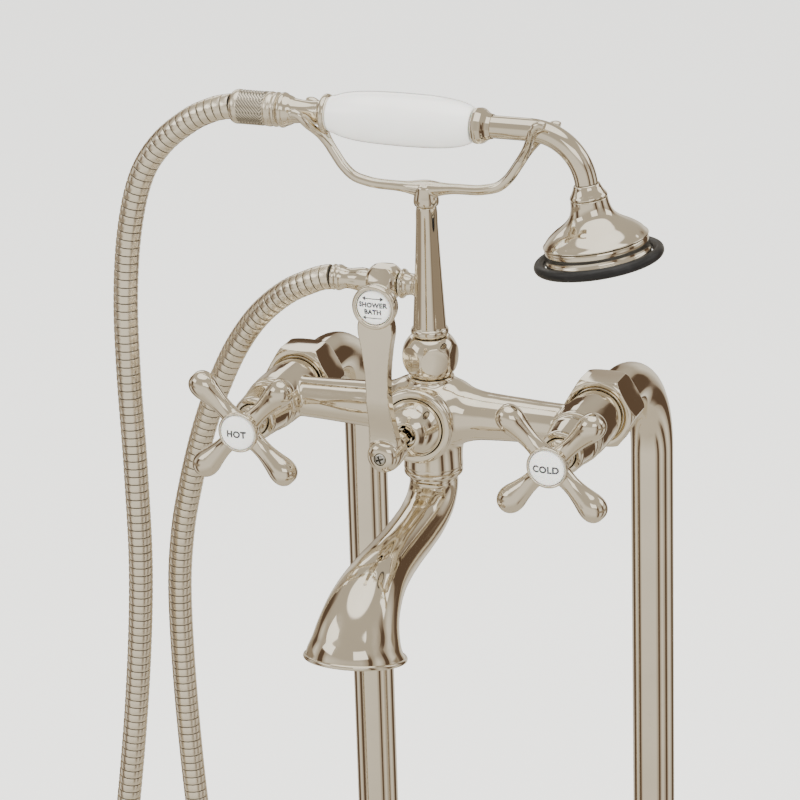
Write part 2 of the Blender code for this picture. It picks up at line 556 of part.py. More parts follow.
def make_grip(line):
    nut = turned([(5.0, 111.6), (8.2, 111.6), (8.9, 110.6), (9.5, 109.4), (9.5, 88.2), (9.1, 87.0),
                  (9.4, 86.0), (9.4, 84.6), (8.4, 83.4), (6.9, 83.4), (6.9, 104), (5.0, 104)],
                 LEFT, steps=FINE)
    dress(nut, "handset_hose_nut", NICKEL, line)
    washer = turned([(3.4, 103.7), (6.5, 103.7), (6.5, 102.2), (3.4, 102.2)], LEFT, steps=SMALL)
    dress(washer, "handset_washer", RUBBER, line)
    tail = turned([(3.4, 101.9), (6.6, 101.9), (6.6, 83.1), (9.3, 83.1), (9.4, 79.6), (8.6, 77.0),
                   (6.9, 75.2), (6.6, 73.6), (6.6, 60.0), (7.0, 58.0), (9.4, 56.8), (10.2, 55.8),
                   (10.2, 54.6), (5.4, 54.6), (5.4, 72), (3.4, 72)], LEFT, steps=FINE)
    dress(tail, "handset_tail", NICKEL, line)
    core = turned([(3.6, 71.6), (5.0, 71.6), (5.0, -36.0), (3.6, -36.0)], LEFT, steps=SMALL)
    dress(core, "handset_core_tube", BRASS, line)
    grip = turned([(5.4, 54.3), (9.3, 54.3), (10.0, 53.2), (11.6, 48), (13.0, 41), (13.8, 32),
                   (14.3, 20), (14.4, 6), (14.0, -6), (13.0, -16), (11.4, -23.6), (10.0, -27.6),
                   (9.3, -28.3), (5.4, -28.3)], LEFT, steps=FINE)
    dress(grip, "handset_grip", PORCELAIN, line)
    ferrule = turned([(5.4, -28.7), (8.6, -28.7), (9.5, -29.6), (9.9, -31.4), (9.8, -33.4),
                      (8.6, -35.4), (7.2, -37.2), (6.9, -39.0), (6.6, -39.0), (6.6, -36.3), (5.4, -36.3)],
                     LEFT, steps=PLAIN)
    dress(ferrule, "handset_ferrule", NICKEL, line)
    elbow_path = [(36.6 * MM, 0.0, 0.0), (ELBOW_START * MM, 0.0, 0.0)]
    steps = 9
    for step in range(1, steps + 1):
        angle = math.radians(ELBOW_SWEEP) * step / steps
        elbow_path.append(((ELBOW_START + ELBOW_BEND * math.sin(angle)) * MM, 0.0,
                           ELBOW_BEND * (math.cos(angle) - 1) * MM))
    elbow_path.append(elbow_end())
    elbow = walled_tube(elbow_path, 6.2 * MM, 1.3 * MM)
    dress(elbow, "handset_elbow", NICKEL, line)


def make_spray_head(head):
    """Collar, bell, rim, face and bumper; heights run down from the elbow's end, negative."""
    collar = turned([(5.0, -0.3), (6.9, -0.3), (7.4, -1.4), (9.6, -6.6), (10.2, -7.4), (10.2, -7.8),
                     (5.0, -7.8)], steps=FINE)
    dress(collar, "bell_collar", NICKEL, head)
    bell = turned([(5.0, -8.1), (10.1, -8.1), (10.4, -10), (10.8, -13.4), (12.0, -16.6), (14.2, -19.3),
                   (17.8, -22.0), (22.2, -24.8), (26.2, -28.0), (28.0, -30.4), (28.4, -31.4),
                   (26.4, -31.4), (25.0, -29.6), (20.8, -26.2), (16.0, -23.4), (12.0, -20.6),
                   (9.6, -17), (8.8, -12), (5.0, -11)], steps=FINE)
    dress(bell, "spray_bell", NICKEL, head)
    rim = turned([(26.4, -31.7), (28.3, -31.7), (28.3, -41.6), (26.4, -41.6)], steps=FINE)
    dress(rim, "bell_rim", NICKEL, head)
    face = turned([(0, -38.6), (26.0, -38.6), (26.0, -41.4), (24.4, -42.4), (0, -42.4)], steps=FINE)
    dress(face, "spray_face", NICKEL, head)
    ring = []
    sides = 10
    for step in range(sides):
        angle = math.pi / 2 - 2 * math.pi * step / sides
        ring.append((BUMPER_RADIUS + BUMPER_THICK * math.cos(angle),
                     BUMPER_DROP + BUMPER_THICK * math.sin(angle)))
    bumper = turned(ring, steps=FINE)
    dress(bumper, "bumper_ring", RUBBER, head)


# ---------------------------------------------------------------- hose
def make_hose():
    hose = closed_tube(smooth_path(HOSE_ROUTE, HOSE_POINT_SPACING), HOSE_DIAMETER / 2, sides=2)
    dress(hose, "shower_hose", STEEL, None)


# ---------------------------------------------------------------- assembly
def build():
    base = empty("floor_origin", (0.0, 0.0, 0.0))
    centre = empty("valve_centre", (0.0, -RISER_BACK, VALVE_HEIGHT))
    make_body(centre)
    for side, word in ((-1, "hot"), (1, "cold")):
        make_supply(side, word, centre, base)
        make_valve(side, word, centre)
        make_handle(side, word, centre)
    make_diverter(centre)
    make_spout(centre)
    make_column(centre)
    make_cradle(centre)
    line = empty("handset_axis", (0.0, -RISER_BACK, VALVE_HEIGHT + HANDSET_HEIGHT * MM))
    make_grip(line)
    head = empty("spray_head_axis", elbow_end(), line)
    head.rotation_euler = (0.0, math.radians(ELBOW_SWEEP - 90), 0.0)
    make_spray_head(head)
    make_hose()
    for obj in PARTS.objects:
        if obj.type == "MESH":
            obj.data.shade_smooth()


build()
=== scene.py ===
"""Bath and shower faucet: the finished look of the assembly, laid out as an add-on.

Every size is in millimetres from the valve centre (X to the cold side, -Y to the user, Z up) unless
it says metres. Each modelling operator makes one piece, or one group of like pieces, and all but the hose
hang theirs on its body.
"""

import json
import math

import bpy
from mathutils.kdtree import KDTree
from mathutils import Matrix, Vector

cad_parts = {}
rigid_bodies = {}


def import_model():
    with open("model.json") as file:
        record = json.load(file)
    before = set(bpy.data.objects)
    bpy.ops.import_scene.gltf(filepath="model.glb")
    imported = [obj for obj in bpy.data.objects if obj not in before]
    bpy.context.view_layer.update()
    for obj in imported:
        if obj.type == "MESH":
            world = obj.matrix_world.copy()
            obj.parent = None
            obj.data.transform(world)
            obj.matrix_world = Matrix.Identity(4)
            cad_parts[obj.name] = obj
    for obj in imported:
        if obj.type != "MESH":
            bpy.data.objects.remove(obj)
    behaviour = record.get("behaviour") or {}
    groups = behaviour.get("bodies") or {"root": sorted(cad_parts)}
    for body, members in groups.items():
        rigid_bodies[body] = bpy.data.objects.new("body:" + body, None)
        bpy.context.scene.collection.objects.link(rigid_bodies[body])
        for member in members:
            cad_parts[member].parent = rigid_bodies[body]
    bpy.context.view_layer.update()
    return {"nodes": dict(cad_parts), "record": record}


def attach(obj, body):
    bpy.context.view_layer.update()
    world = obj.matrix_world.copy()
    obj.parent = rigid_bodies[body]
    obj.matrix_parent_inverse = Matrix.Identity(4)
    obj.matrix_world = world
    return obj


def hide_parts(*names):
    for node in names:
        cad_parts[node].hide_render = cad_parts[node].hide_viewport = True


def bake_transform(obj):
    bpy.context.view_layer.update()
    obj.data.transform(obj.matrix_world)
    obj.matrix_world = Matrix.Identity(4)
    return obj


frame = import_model()

bl_info = {
    "name": "Bath and shower faucet",
    "version": (1, 0, 0),
    "blender": (4, 5, 0),
    "location": "3D View > Sidebar > Faucet",
    "description": "Models a bath faucet with a cradle handset, in polished nickel and porcelain",
    "category": "Object",
}

MM = 0.001
CENTRE = Vector((0.0, -0.118, 0.690))        # the valve centre in the frame, metres
HALF_CENTRES = 89.0
OUTLET_HEIGHT = 72.2
HANDSET_HEIGHT = 165.2
SPRAY_LEAN = 9.0                             # degrees, the bell's axis from the vertical
UP = (0.0, 0.0, 0.0)
FRONT = (math.pi / 2, 0.0, 0.0)
RIGHT = (0.0, math.pi / 2, 0.0)
LEFT = (0.0, -math.pi / 2, 0.0)
SIDES = ((-1, "hot"), (1, "cold"))
ELBOW_START = 60.5                           # along the handset's axis
ELBOW_BEND = 31.0                            # bend radius of the handset's elbow
ELBOW_SWEEP = math.radians(90.0 - SPRAY_LEAN)
ELBOW_TAIL = 0.8                             # straight end inside the collar
ELBOW_END = (ELBOW_START + ELBOW_BEND * math.sin(ELBOW_SWEEP) + ELBOW_TAIL * math.cos(ELBOW_SWEEP), 0,
             HANDSET_HEIGHT + ELBOW_BEND * (math.cos(ELBOW_SWEEP) - 1)
             - ELBOW_TAIL * math.sin(ELBOW_SWEEP))
LEVER_SET = 7.0                              # how far the lever's foot is set back
LEVER_BEND_START = 4.0                       # height at which the lever starts to come forward
LEVER_BEND_LENGTH = 32.0                     # height over which it does
FORK_REACH = 57.0                            # each fork's root from the column's axis
FORK_HEIGHT = 150.4                          # the left fork's root
FORK_STEP = 0.9                              # how much higher the right fork's root is
KNURL_MIDDLE = -98.6                         # the knurl's place along the handset's axis
KNURL_LENGTH = 15.8
KNURL_ROOT = 8.95                            # radius between the points
KNURL_RISE = 0.55                            # height of the points
KNURL_LEFT_EDGE = (-106.6, -106.2)           # where the painted shade in the pits fades in
KNURL_RIGHT_EDGE = (-90.8, -91.2)            # where it fades out
KNURL_PIT_SHADE_RADII = (9.42, 9.05)                     # radii where the painted shade in the pits starts and where it is full
ROOM_RADIUS = 2.0                            # metres, the mirrored room
CAMERA_SPOT = (0.6925, -1.7640, 0.7119)      # metres from the valve centre
CAMERA_ANGLES = (21.962, 20.417, -1.771)     # degrees: azimuth, pitch and roll
CAMERA_LENS = 165.4                          # focal length on a 36 mm wide sensor
# The mirrored room's brown uprights: where each stands and half its width, both in radians
UPRIGHTS = ((0.98, 0.06), (1.72, 0.08), (2.62, 0.16), (-1.12, 0.1), (-1.95, 0.16), (-2.7, 0.08))
GROOVE = 0.90                                # a hose groove's share of the hose's radius
STEPS = 72                                   # sides of a turned piece
BLACK = (0.0, 0.0, 0.0, 1.0)
FERRULE_FACETS = 12                          # flats round the collar at the grip's end


# ------------------------------------------------------------------ settings
class FaucetSizes(bpy.types.PropertyGroup):
    """Sizes that a user may change."""

    hose_diameter: bpy.props.FloatProperty(
        name="Hose diameter", description="Outside diameter of the hose's ribs", default=0.014,
        min=0.008, max=0.02, unit="LENGTH")
    rib_pitch: bpy.props.FloatProperty(
        name="Rib pitch", description="Length of one rib of the hose", default=0.0047, min=0.003,
        max=0.01, unit="LENGTH")
    edge_radius: bpy.props.FloatProperty(
        name="Edge radius", description="Rounding of the turned edges", default=0.0003, min=0.0001,
        max=0.001, unit="LENGTH")


class FaucetColours(bpy.types.PropertyGroup):
    """Finishes that a user may change."""

    nickel: bpy.props.FloatVectorProperty(
        name="Nickel", description="Polished nickel plate", default=(0.82, 0.765, 0.655),
        subtype="COLOR", min=0.0, max=1.0)
    porcelain: bpy.props.FloatVectorProperty(
        name="Porcelain", description="White glaze", default=(0.90, 0.90, 0.88), subtype="COLOR",
        min=0.0, max=1.0)
    rubber: bpy.props.FloatVectorProperty(
        name="Rubber", description="Black bumper and seals", default=(0.012, 0.012, 0.013),
        subtype="COLOR", min=0.0, max=1.0)
    floor: bpy.props.FloatVectorProperty(
        name="Floor", description="Pale floor under the faucet", default=(0.86, 0.86, 0.835),
        subtype="COLOR", min=0.0, max=1.0)


# ------------------------------------------------------------------ material nodes
class Wire:
    """A node socket that adds, subtracts, multiplies and divides as an expression."""

    def __init__(self, tree, socket):
        self.tree = tree
        self.socket = socket

    def node(self, kind, settings=None, out=0, **inputs):
        """Any other node: its type, its settings, and its sockets by name or index."""
        made = self.tree.nodes.new(kind)
        for key, value in (settings or {}).items():
            setattr(made, key, value)
        for key, value in inputs.items():
            index = int(key[1:]) if key[0] == "i" and key[1:].isdigit() else key.replace("_", " ")
            self.feed(made.inputs[index], value)
        return Wire(self.tree, made.outputs[out])

    def feed(self, socket, value):
        if isinstance(value, Wire):
            self.tree.links.new(value.socket, socket)
        else:
            socket.default_value = value

    def maths(self, operation, *values):
        settings = {"operation": operation}
        return self.node("ShaderNodeMath", settings, **{f"i{n}": v for n, v in enumerate(values)})

    def __add__(self, other):
        return self.maths("ADD", self, other)

    def __sub__(self, other):
        return self.maths("SUBTRACT", self, other)

    def __mul__(self, other):
        return self.maths("MULTIPLY", self, other)

    def __truediv__(self, other):
        return self.maths("DIVIDE", self, other)

    def __rsub__(self, other):
        return self.maths("SUBTRACT", other, self)

    def __rtruediv__(self, other):
        return self.maths("DIVIDE", other, self)

    __radd__ = __add__
    __rmul__ = __mul__

    def band(self, low, high, bottom=0.0, top=1.0):
        """The value carried from one range to another, held at its ends."""
        return self.node("ShaderNodeMapRange", {"clamp": True}, Value=self, From_Min=low,
                         From_Max=high, To_Min=bottom, To_Max=top)

    def noise(self, scale, detail=2.0, stretch=(1.0, 1.0, 1.0)):
        vector = self.node("ShaderNodeVectorMath", {"operation": "MULTIPLY"}, i0=self, i1=stretch)
        return self.node("ShaderNodeTexNoise", None, 0, Vector=vector, Scale=scale, Detail=detail)

    def split(self):
        """The three parts of a vector."""
        parts = self.tree.nodes.new("ShaderNodeSeparateXYZ")
        self.feed(parts.inputs[0], self)
        return [Wire(self.tree, out) for out in parts.outputs]

    def peak(self, other):
        """The larger of two values."""
        return self.maths("MAXIMUM", self, other)

    def sine(self):
        return self.maths("SINE", self)

    def blend(self, first, second):
        """A colour between two, by this value."""
        mix = self.tree.nodes.new("ShaderNodeMix")
        mix.data_type = "RGBA"
        self.feed(mix.inputs[0], self)
        self.feed(mix.inputs[6], first)
        self.feed(mix.inputs[7], second)
        return Wire(self.tree, mix.outputs[2])


def finish(name, fixed):
    """A new material, its shader with fixed values, and the wire of its object coordinates."""
    material = bpy.data.materials.new(name)
    material.use_nodes = True
    tree = material.node_tree
    shader = tree.nodes["Principled BSDF"]
    for key, value in fixed.items():
        shader.inputs[key].default_value = value
    place = Wire(tree, tree.nodes.new("ShaderNodeTexCoord").outputs["Object"])
    return material, shader, place


def plug(shader, place, **inputs):
    for key, value in inputs.items():
        place.feed(shader.inputs[key.replace("_", " ")], value)


def shade(colour, factor):
    return (*[min(1.0, part * factor) for part in colour], 1.0)


def metal(name, colour, roughness, scratch=0.05, worn=0.035):
    """Polished metal: fine polishing lines, faint water spots and a slow drift of its colour."""
    material, shader, place = finish(name, {"Metallic": 1.0})
    drift = place.noise(22.0, 3.0)
    spots = place.noise(160.0, 4.0).band(0.60, 0.72)
    lines = place.noise(900.0, 3.0, (1.0, 1.0, 0.12))
    base = drift.band(0.35, 0.65).blend(shade(colour, 0.965), shade(colour, 1.03))
    base = (spots * 0.25).blend(base, shade(colour, 0.9))
    rough = drift.band(0.3, 0.7, roughness, roughness + worn) + spots * worn * 1.5
    grain = place.node("ShaderNodeBump", None, 0, Strength=scratch, Distance=0.00004,
                       Height=lines + place.noise(60.0, 1.0) * 2.0)
    plug(shader, place, Base_Color=base, Roughness=rough, Normal=grain)
    return material


def knurled(name, colour):
    """Knurled nickel with painted shade down between the points, plain and polished beyond the knurl."""
    material = metal(name, colour, 0.16, 0.05, 0.08)
    tree = material.node_tree
    shader = tree.nodes["Principled BSDF"]
    place = Wire(tree, tree.nodes.new("ShaderNodeTexCoord").outputs["Object"])
    x, y, z = place.split()
    y = y - CENTRE.y
    z = z - (CENTRE.z + HANDSET_HEIGHT * MM)
    radius = (y * y + z * z).maths("SQRT", y * y + z * z)
    patch = x.band(*[edge * MM for edge in KNURL_LEFT_EDGE])
    patch = patch * x.band(*[edge * MM for edge in KNURL_RIGHT_EDGE])
    # painted shade: darkens the pits between the points towards a quarter of the nickel's colour, inside the
    # knurl's patch
    painted_pit_shade = radius.band(*[edge * MM for edge in KNURL_PIT_SHADE_RADII]) * patch
    base = Wire(tree, shader.inputs["Base Color"].links[0].from_socket)
    plug(shader, place, Base_Color=painted_pit_shade.blend(base, shade(colour, 0.25)))
    return material


def glaze(name, colour):
    """Fired porcelain: a clear coat over a slightly uneven body."""
    material, shader, place = finish(name, {"Coat Roughness": 0.03, "IOR": 1.52,
                                            "Subsurface Weight": 0.08, "Subsurface Scale": 0.002})
    uneven = place.noise(70.0, 2.0)
    specks = place.noise(1400.0, 1.0).band(0.72, 0.78)
    base = uneven.band(0.35, 0.65).blend(shade(colour, 0.985), shade(colour, 1.01))
    base = (specks * 0.25).blend(base, shade(colour, 0.8))
    peel = place.node("ShaderNodeBump", None, 0, Strength=0.08, Distance=0.0002, Height=uneven)
    plug(shader, place, Base_Color=base, Roughness=uneven.band(0.3, 0.7, 0.10, 0.16),
         Normal=peel, Coat_Weight=uneven.band(0.0, 1.0, 0.9, 1.0))
    return material


def elastic(name, colour):
    """Moulded rubber with a satin skin and a little dust."""
    material, shader, place = finish(name, {"Metallic": 0.0, "Specular IOR Level": 0.28})
    dust = place.noise(120.0, 4.0)
    pores = place.noise(2600.0, 2.0)
    base = dust.band(0.5, 0.9).blend(shade(colour, 0.6), shade(colour, 1.2))
    skin = place.node("ShaderNodeBump", None, 0, Strength=0.12, Distance=0.0001, Height=pores)
    plug(shader, place, Base_Color=base, Roughness=dust.band(0.3, 0.7, 0.33, 0.46), Normal=skin)
    return material


def ink(name):
    """Fired lettering colour."""
    material, shader, place = finish(name, {"Metallic": 0.0})
    patch = place.noise(900.0, 2.0)
    base = patch.band(0.3, 0.7).blend((0.03, 0.03, 0.035, 1.0), (0.055, 0.055, 0.06, 1.0))
    plug(shader, place, Base_Color=base, Roughness=patch.band(0.3, 0.7, 0.22, 0.34))
    return material


def chalk(name, colour):
    """The plain floor of the set."""
    material, shader, place = finish(name, {"Specular IOR Level": 0.2, "Emission Strength": 0.85})
    cloud = place.noise(1.5, 3.0)
    base = cloud.band(0.3, 0.7).blend(shade(colour, 0.99), shade(colour, 1.01))
    plug(shader, place, Base_Color=base, Emission_Color=base,
         Roughness=cloud.band(0.3, 0.7, 0.7, 0.8))
    return material


def glow(name, colour, strength):
    """A lit panel."""
    material, _shader, _place = finish(name, {"Base Color": BLACK, "Specular IOR Level": 0.0,
                                              "Roughness": 1.0, "Emission Color": (*colour, 1.0),
                                              "Emission Strength": strength})
    return material


LOOKS = {}


def make_looks():
    colours = bpy.context.scene.faucet_colours
    LOOKS["nickel"] = metal("polished_nickel", colours.nickel, 0.035)
    LOOKS["hose"] = metal("hose_metal", [part * 1.1 for part in colours.nickel], 0.19, 0.1, 0.08)
    LOOKS["knurl"] = knurled("knurled_nickel_painted_pit_shade", colours.nickel)
    # painted shade: a dark copy of the nickel for the hose's grooves and the screw's cross recess
    LOOKS["groove"] = metal("painted_recess_shade_metal", [part * 0.16 for part in colours.nickel], 0.5, 0.1, 0.1)
    LOOKS["steel"] = metal("stainless_steel", (0.60, 0.60, 0.58), 0.2, 0.2)
    LOOKS["brass"] = metal("plain_brass", (0.78, 0.60, 0.32), 0.28, 0.2)
    LOOKS["porcelain"] = glaze("white_porcelain", colours.porcelain)
    LOOKS["rubber"] = elastic("black_rubber", colours.rubber)
    LOOKS["ink"] = ink("lettering")


# ------------------------------------------------------------------ modelling helpers
def deselect():
    for obj in bpy.context.view_layer.objects:
        obj.select_set(False)


def pick(obj):
    deselect()
    obj.select_set(True)
    bpy.context.view_layer.objects.active = obj


def edit(obj):
    """Enter edit mode on one object with all of it selected."""
    pick(obj)
    bpy.ops.object.mode_set(mode="EDIT")
    bpy.ops.mesh.select_mode(type="VERT")
    bpy.ops.mesh.select_all(action="SELECT")


def leave():
    bpy.ops.object.mode_set(mode="OBJECT")


def apply(obj, kind, **settings):
    """Add one modifier, set it and apply it."""
    pick(obj)
    step = obj.modifiers.new(kind, kind)
    for key, value in settings.items():
        setattr(step, key, value)
    bpy.ops.object.modifier_apply(modifier=step.name)


def curve_through(points, detail, corner=40.0):
    """Points on a smooth line through the given ones; a turn over the corner angle stays sharp."""
    points = [Vector(point) for point in points]
    last = len(points) - 1

    def slope(index, segment):
        if index in (0, last):
            return segment.normalized()
        into = points[index] - points[index - 1]
        out = points[index + 1] - points[index]
        if into.length < 1e-9 or out.length < 1e-9 or into.angle(out) > math.radians(corner):
            return segment.normalized()
        near = into.normalized() * out.length + out.normalized() * into.length
        return near.normalized()

    made = [points[0]]
    for index in range(last):
        a, b = points[index], points[index + 1]
        span = b - a
        if span.length < 1e-9:
            continue
        start, end = slope(index, span), slope(index + 1, span)
        bent = start.angle(end) > 0.01 or start.angle(span) > 0.01
        steps = max(2, min(detail, round(span.length / 0.5))) if bent else 1
        for step in range(1, steps + 1):
            t = step / steps
            made.append(a * (2 * t ** 3 - 3 * t ** 2 + 1)
                        + start * span.length * (t ** 3 - 2 * t ** 2 + t)
                        + b * (3 * t ** 2 - 2 * t ** 3) + end * span.length * (t ** 3 - t ** 2))
    return made


def place(obj, turn, at):
    """Put a piece modelled on the Z axis where it belongs, and bake that into its mesh."""
    pick(obj)
    obj.rotation_euler = turn
    obj.location = CENTRE + Vector(at) * MM
    bpy.ops.object.transform_apply(location=True, rotation=True, scale=True)
    return obj


def lathe(profile, turn=UP, at=(0, 0, 0), detail=5, steps=STEPS, round_edges=True, corner=40.0):
    """Extrude a profile of (radius, height) point by point and spin it round the Z axis."""
    deselect()
    flat = [(radius, 0.0, height) for radius, height in profile]
    if profile[0][0] > 0.0 or profile[-1][0] > 0.0:
        flat.append(flat[0])
    line = [point * MM for point in curve_through(flat, detail, corner)]
    bpy.ops.mesh.primitive_plane_add(size=0.01)
    obj = bpy.context.object
    edit(obj)
    bpy.ops.mesh.merge(type="CENTER")
    bpy.ops.transform.translate(value=line[0])
    for before, here in zip(line, line[1:]):
        bpy.ops.mesh.extrude_vertices_move(TRANSFORM_OT_translate={"value": here - before})
    bpy.ops.mesh.select_all(action="SELECT")
    bpy.ops.mesh.spin(steps=steps, angle=2 * math.pi, center=(0, 0, 0), axis=(0, 0, 1))
    clean()
    if round_edges:
        bevel(obj)
    return place(obj, turn, at)


def clean():
    """In edit mode: weld the seam and the poles, face everything outwards and leave."""
    bpy.ops.mesh.select_all(action="SELECT")
    bpy.ops.mesh.remove_doubles(threshold=0.000002)
    bpy.ops.mesh.normals_make_consistent(inside=False)
    leave()


def bevel(obj, width=None, segments=2, angle=34.0):
    width = width or bpy.context.scene.faucet_sizes.edge_radius
    apply(obj, "BEVEL", width=width, segments=segments, limit_method="ANGLE",
          angle_limit=math.radians(angle), use_clamp_overlap=True, harden_normals=False)


def straight_runs(points):
    """A curve of straight runs through points in metres."""
    deselect()
    bpy.ops.curve.primitive_nurbs_path_add()
    data = bpy.context.object.data
    data.splines.clear()
    spline = data.splines.new("POLY")
    spline.points.add(len(points) - 1)
    for knot, point in zip(spline.points, points):
        knot.co = (*point, 1.0)
    return data, spline


def sweep(points, radius, radii=None, sides=6, caps=True):
    """A round bar along points in metres, as a mesh."""
    data, spline = straight_runs(points)
    for index, knot in enumerate(spline.points):
        knot.radius = 1.0 if radii is None else radii[index]
    data.bevel_depth = radius
    data.bevel_resolution = sides
    data.use_fill_caps = caps
    data.twist_smooth = 0
    bpy.ops.object.convert(target="MESH")
    obj = bpy.context.object
    edit(obj)
    clean()
    return obj


def from_centre(points):
    return [CENTRE + Vector(point) * MM for point in points]


def bisect(obj, spot, outward):
    """Cut a flat: what lies beyond the plane goes, and the cut is filled."""
    edit(obj)
    bpy.ops.mesh.bisect(plane_co=spot, plane_no=outward, use_fill=True, clear_outer=True)
    leave()


def six_flats(nut, spot, reach, first, across, along):
    """Cut six flats round a nut, each at reach from its middle, the first at an angle in degrees."""
    middle = CENTRE + Vector(spot) * MM
    for face in range(6):
        angle = math.radians(first + 60 * face)
        outward = Vector(across) * math.cos(angle) + Vector(along) * math.sin(angle)
        bisect(nut, middle + outward * reach * MM, outward)


def fuse(base, *others):
    for other in others:
        apply(base, "BOOLEAN", operation="UNION", solver="EXACT", object=other)
        bpy.data.objects.remove(other, do_unlink=True)
    return base


def carve(base, *others):
    for other in others:
        apply(base, "BOOLEAN", operation="DIFFERENCE", solver="EXACT", object=other)
        bpy.data.objects.remove(other, do_unlink=True)
    return base


def gather(base, *others):
    """Join separate shells into one piece."""
    pick(base)
    for other in others:
        other.select_set(True)
    if others:
        bpy.ops.object.join()
    return base


def cast(obj, grain, smoothing):
    """Remesh a fused shape and relax it, so that its joins run together as a casting's do."""
    apply(obj, "REMESH", mode="VOXEL", voxel_size=grain, use_smooth_shade=True)
    apply(obj, "SMOOTH", factor=0.5, iterations=smoothing)
    return obj


def finished(obj, name, look, slot, body, *nodes, angle=32.0):
    """Name a piece, give it its finish and hang it on its body in place of its CAD nodes."""
    obj.name = name
    obj.data.name = name
    obj.data.materials.clear()
    obj.data.materials.append(LOOKS[look])
    pick(obj)
    bpy.ops.object.shade_smooth_by_angle(angle=math.radians(angle))
    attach(obj, body)
    if nodes:
        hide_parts(*nodes)
    return obj


def nickel(obj, name, body, *nodes, angle=32.0):
    return finished(obj, name, "nickel", "polished_nickel", body, *nodes, angle=angle)


def duplicate(obj):
    pick(obj)
    bpy.ops.object.duplicate()
    return bpy.context.object


# ------------------------------------------------------------------ stage
class FAUCET_OT_stage(bpy.types.Operator):
    """Set the camera, the pale floor, the soft boxes and the room that the metal mirrors"""

    bl_idname = "faucet.stage"
    bl_label = "Stage"

    def execute(self, context):
        data = bpy.data.cameras.new("camera")
        data.lens = CAMERA_LENS
        data.sensor_width = 36.0
        data.clip_end = 50.0
        camera = bpy.data.objects.new("camera", data)
        context.scene.collection.objects.link(camera)
        azimuth, pitch, roll = (math.radians(angle) for angle in CAMERA_ANGLES)
        forward = Vector((-math.sin(azimuth) * math.cos(pitch), math.cos(azimuth) * math.cos(pitch),
                          -math.sin(pitch)))
        right = Vector((math.cos(azimuth), math.sin(azimuth), 0.0))
        up = right.cross(forward)
        right, up = (right * math.cos(roll) + up * math.sin(roll),
                     up * math.cos(roll) - right * math.sin(roll))
        turn = Matrix((right, up, -forward)).transposed().to_4x4()
        camera.matrix_world = Matrix.Translation(CENTRE + Vector(CAMERA_SPOT)) @ turn
        context.scene.camera = camera
        self.floor(context)
        self.panels()
        self.room()
        world = bpy.data.worlds.new("world")
        world.use_nodes = True
        world.node_tree.nodes["Background"].inputs[0].default_value = (1.0, 0.99, 0.96, 1.0)
        world.node_tree.nodes["Background"].inputs[1].default_value = 1.5
        context.scene.world = world
        return {"FINISHED"}

    def floor(self, context):
        """A floor 24 metres across that gives off a little light and isn't mirrored."""
        deselect()
        bpy.ops.mesh.primitive_plane_add(size=24.0, location=(0, 4, 0))
        ground = context.object
        ground.name = "floor"
        ground.data.materials.append(chalk("floor", context.scene.faucet_colours.floor))
        ground.visible_glossy = False

    def panels(self):
        """Soft boxes that light the set; their places in the frame and their sizes are in metres."""
        bright = glow("soft_box", (1.0, 0.985, 0.95), 12.5)
        boards = [
            ("key", (-1.9, -1.8, 2.7), (1.4, 1.1)),
            ("top", (0.4, -0.2, 3.0), (1.8, 1.0)),
            ("side", (2.6, -0.6, 1.6), (0.5, 1.4)),
        ]
        for name, spot, size in boards:
            deselect()
            bpy.ops.mesh.primitive_plane_add(size=1.0, location=spot)
            board = bpy.context.object
            board.name = name
            board.scale = (size[0], size[1], 1.0)
            away = Vector(spot) - CENTRE
            board.rotation_euler = away.to_track_quat("Z", "Y").to_euler()
            bpy.ops.object.transform_apply(location=False, rotation=False, scale=True)
            board.data.materials.append(bright)
            board.visible_camera = False
            board.visible_shadow = False

    def room(self):
        """A round shell that only reflections see: walls, brown uprights, panes and a skylight."""
        deselect()
        bpy.ops.mesh.primitive_uv_sphere_add(segments=48, ring_count=24, radius=ROOM_RADIUS,
                                             location=CENTRE)
        shell = bpy.context.object
        shell.name = "mirrored_room"
        material, shader, place = finish("mirrored_room", {
            "Base Color": BLACK, "Specular IOR Level": 0.0, "Roughness": 1.0,
            "Emission Strength": 1.0})
        x, y, z = place.split()
        turn = x.maths("ARCTAN2", x, y * -1.0)
        height = z / ROOM_RADIUS
        span = height.band(-0.80, -0.62) * height.band(0.50, 0.25)
        soft = self.uprights(turn, 0.3, 0.22) * span
        deep = self.uprights(turn, 0.04, 0.04) * span
        horizon = height.band(-0.30, -0.24) * height.band(-0.03, -0.08)
        horizon = horizon * (turn * 2.0 - 1.8).sine().band(-0.2, 0.3)
        sky = height.band(0.12, 0.32).blend((1.0, 0.93, 0.80, 1.0), (0.60, 0.53, 0.43, 1.0))
        wall = height.band(-0.80, -0.45).blend((0.72, 0.645, 0.52, 1.0), sky)
        wall = soft.blend(wall, (0.38, 0.30, 0.22, 1.0))
        wall = deep.blend(wall, (0.13, 0.085, 0.055, 1.0))
        lit = horizon.blend(wall, (0.36, 0.29, 0.21, 1.0))
        panes = (turn * 4.0 - 0.9).sine().band(0.30, 0.36)
        panes = panes * height.band(0.30, 0.33) * height.band(0.62, 0.59)
        skylight = height.band(0.84, 0.87)
        plug(shader, place, Emission_Color=panes.peak(skylight).blend(lit, (1.9, 1.82, 1.66, 1.0)))
        shell.data.materials.append(material)
        shell.visible_camera = False
        shell.visible_diffuse = False
        shell.visible_shadow = False
        shell.visible_transmission = False

    def uprights(self, turn, left, right):
        """Where the uprights stand, fading out over so many radians to the left and the right."""
        whole = None
        for middle, half in UPRIGHTS:
            one = turn.band(middle - half - left, middle - half)
            one = one * turn.band(middle + half + right, middle + half)
            whole = one if whole is None else whole.peak(one)
        return whole


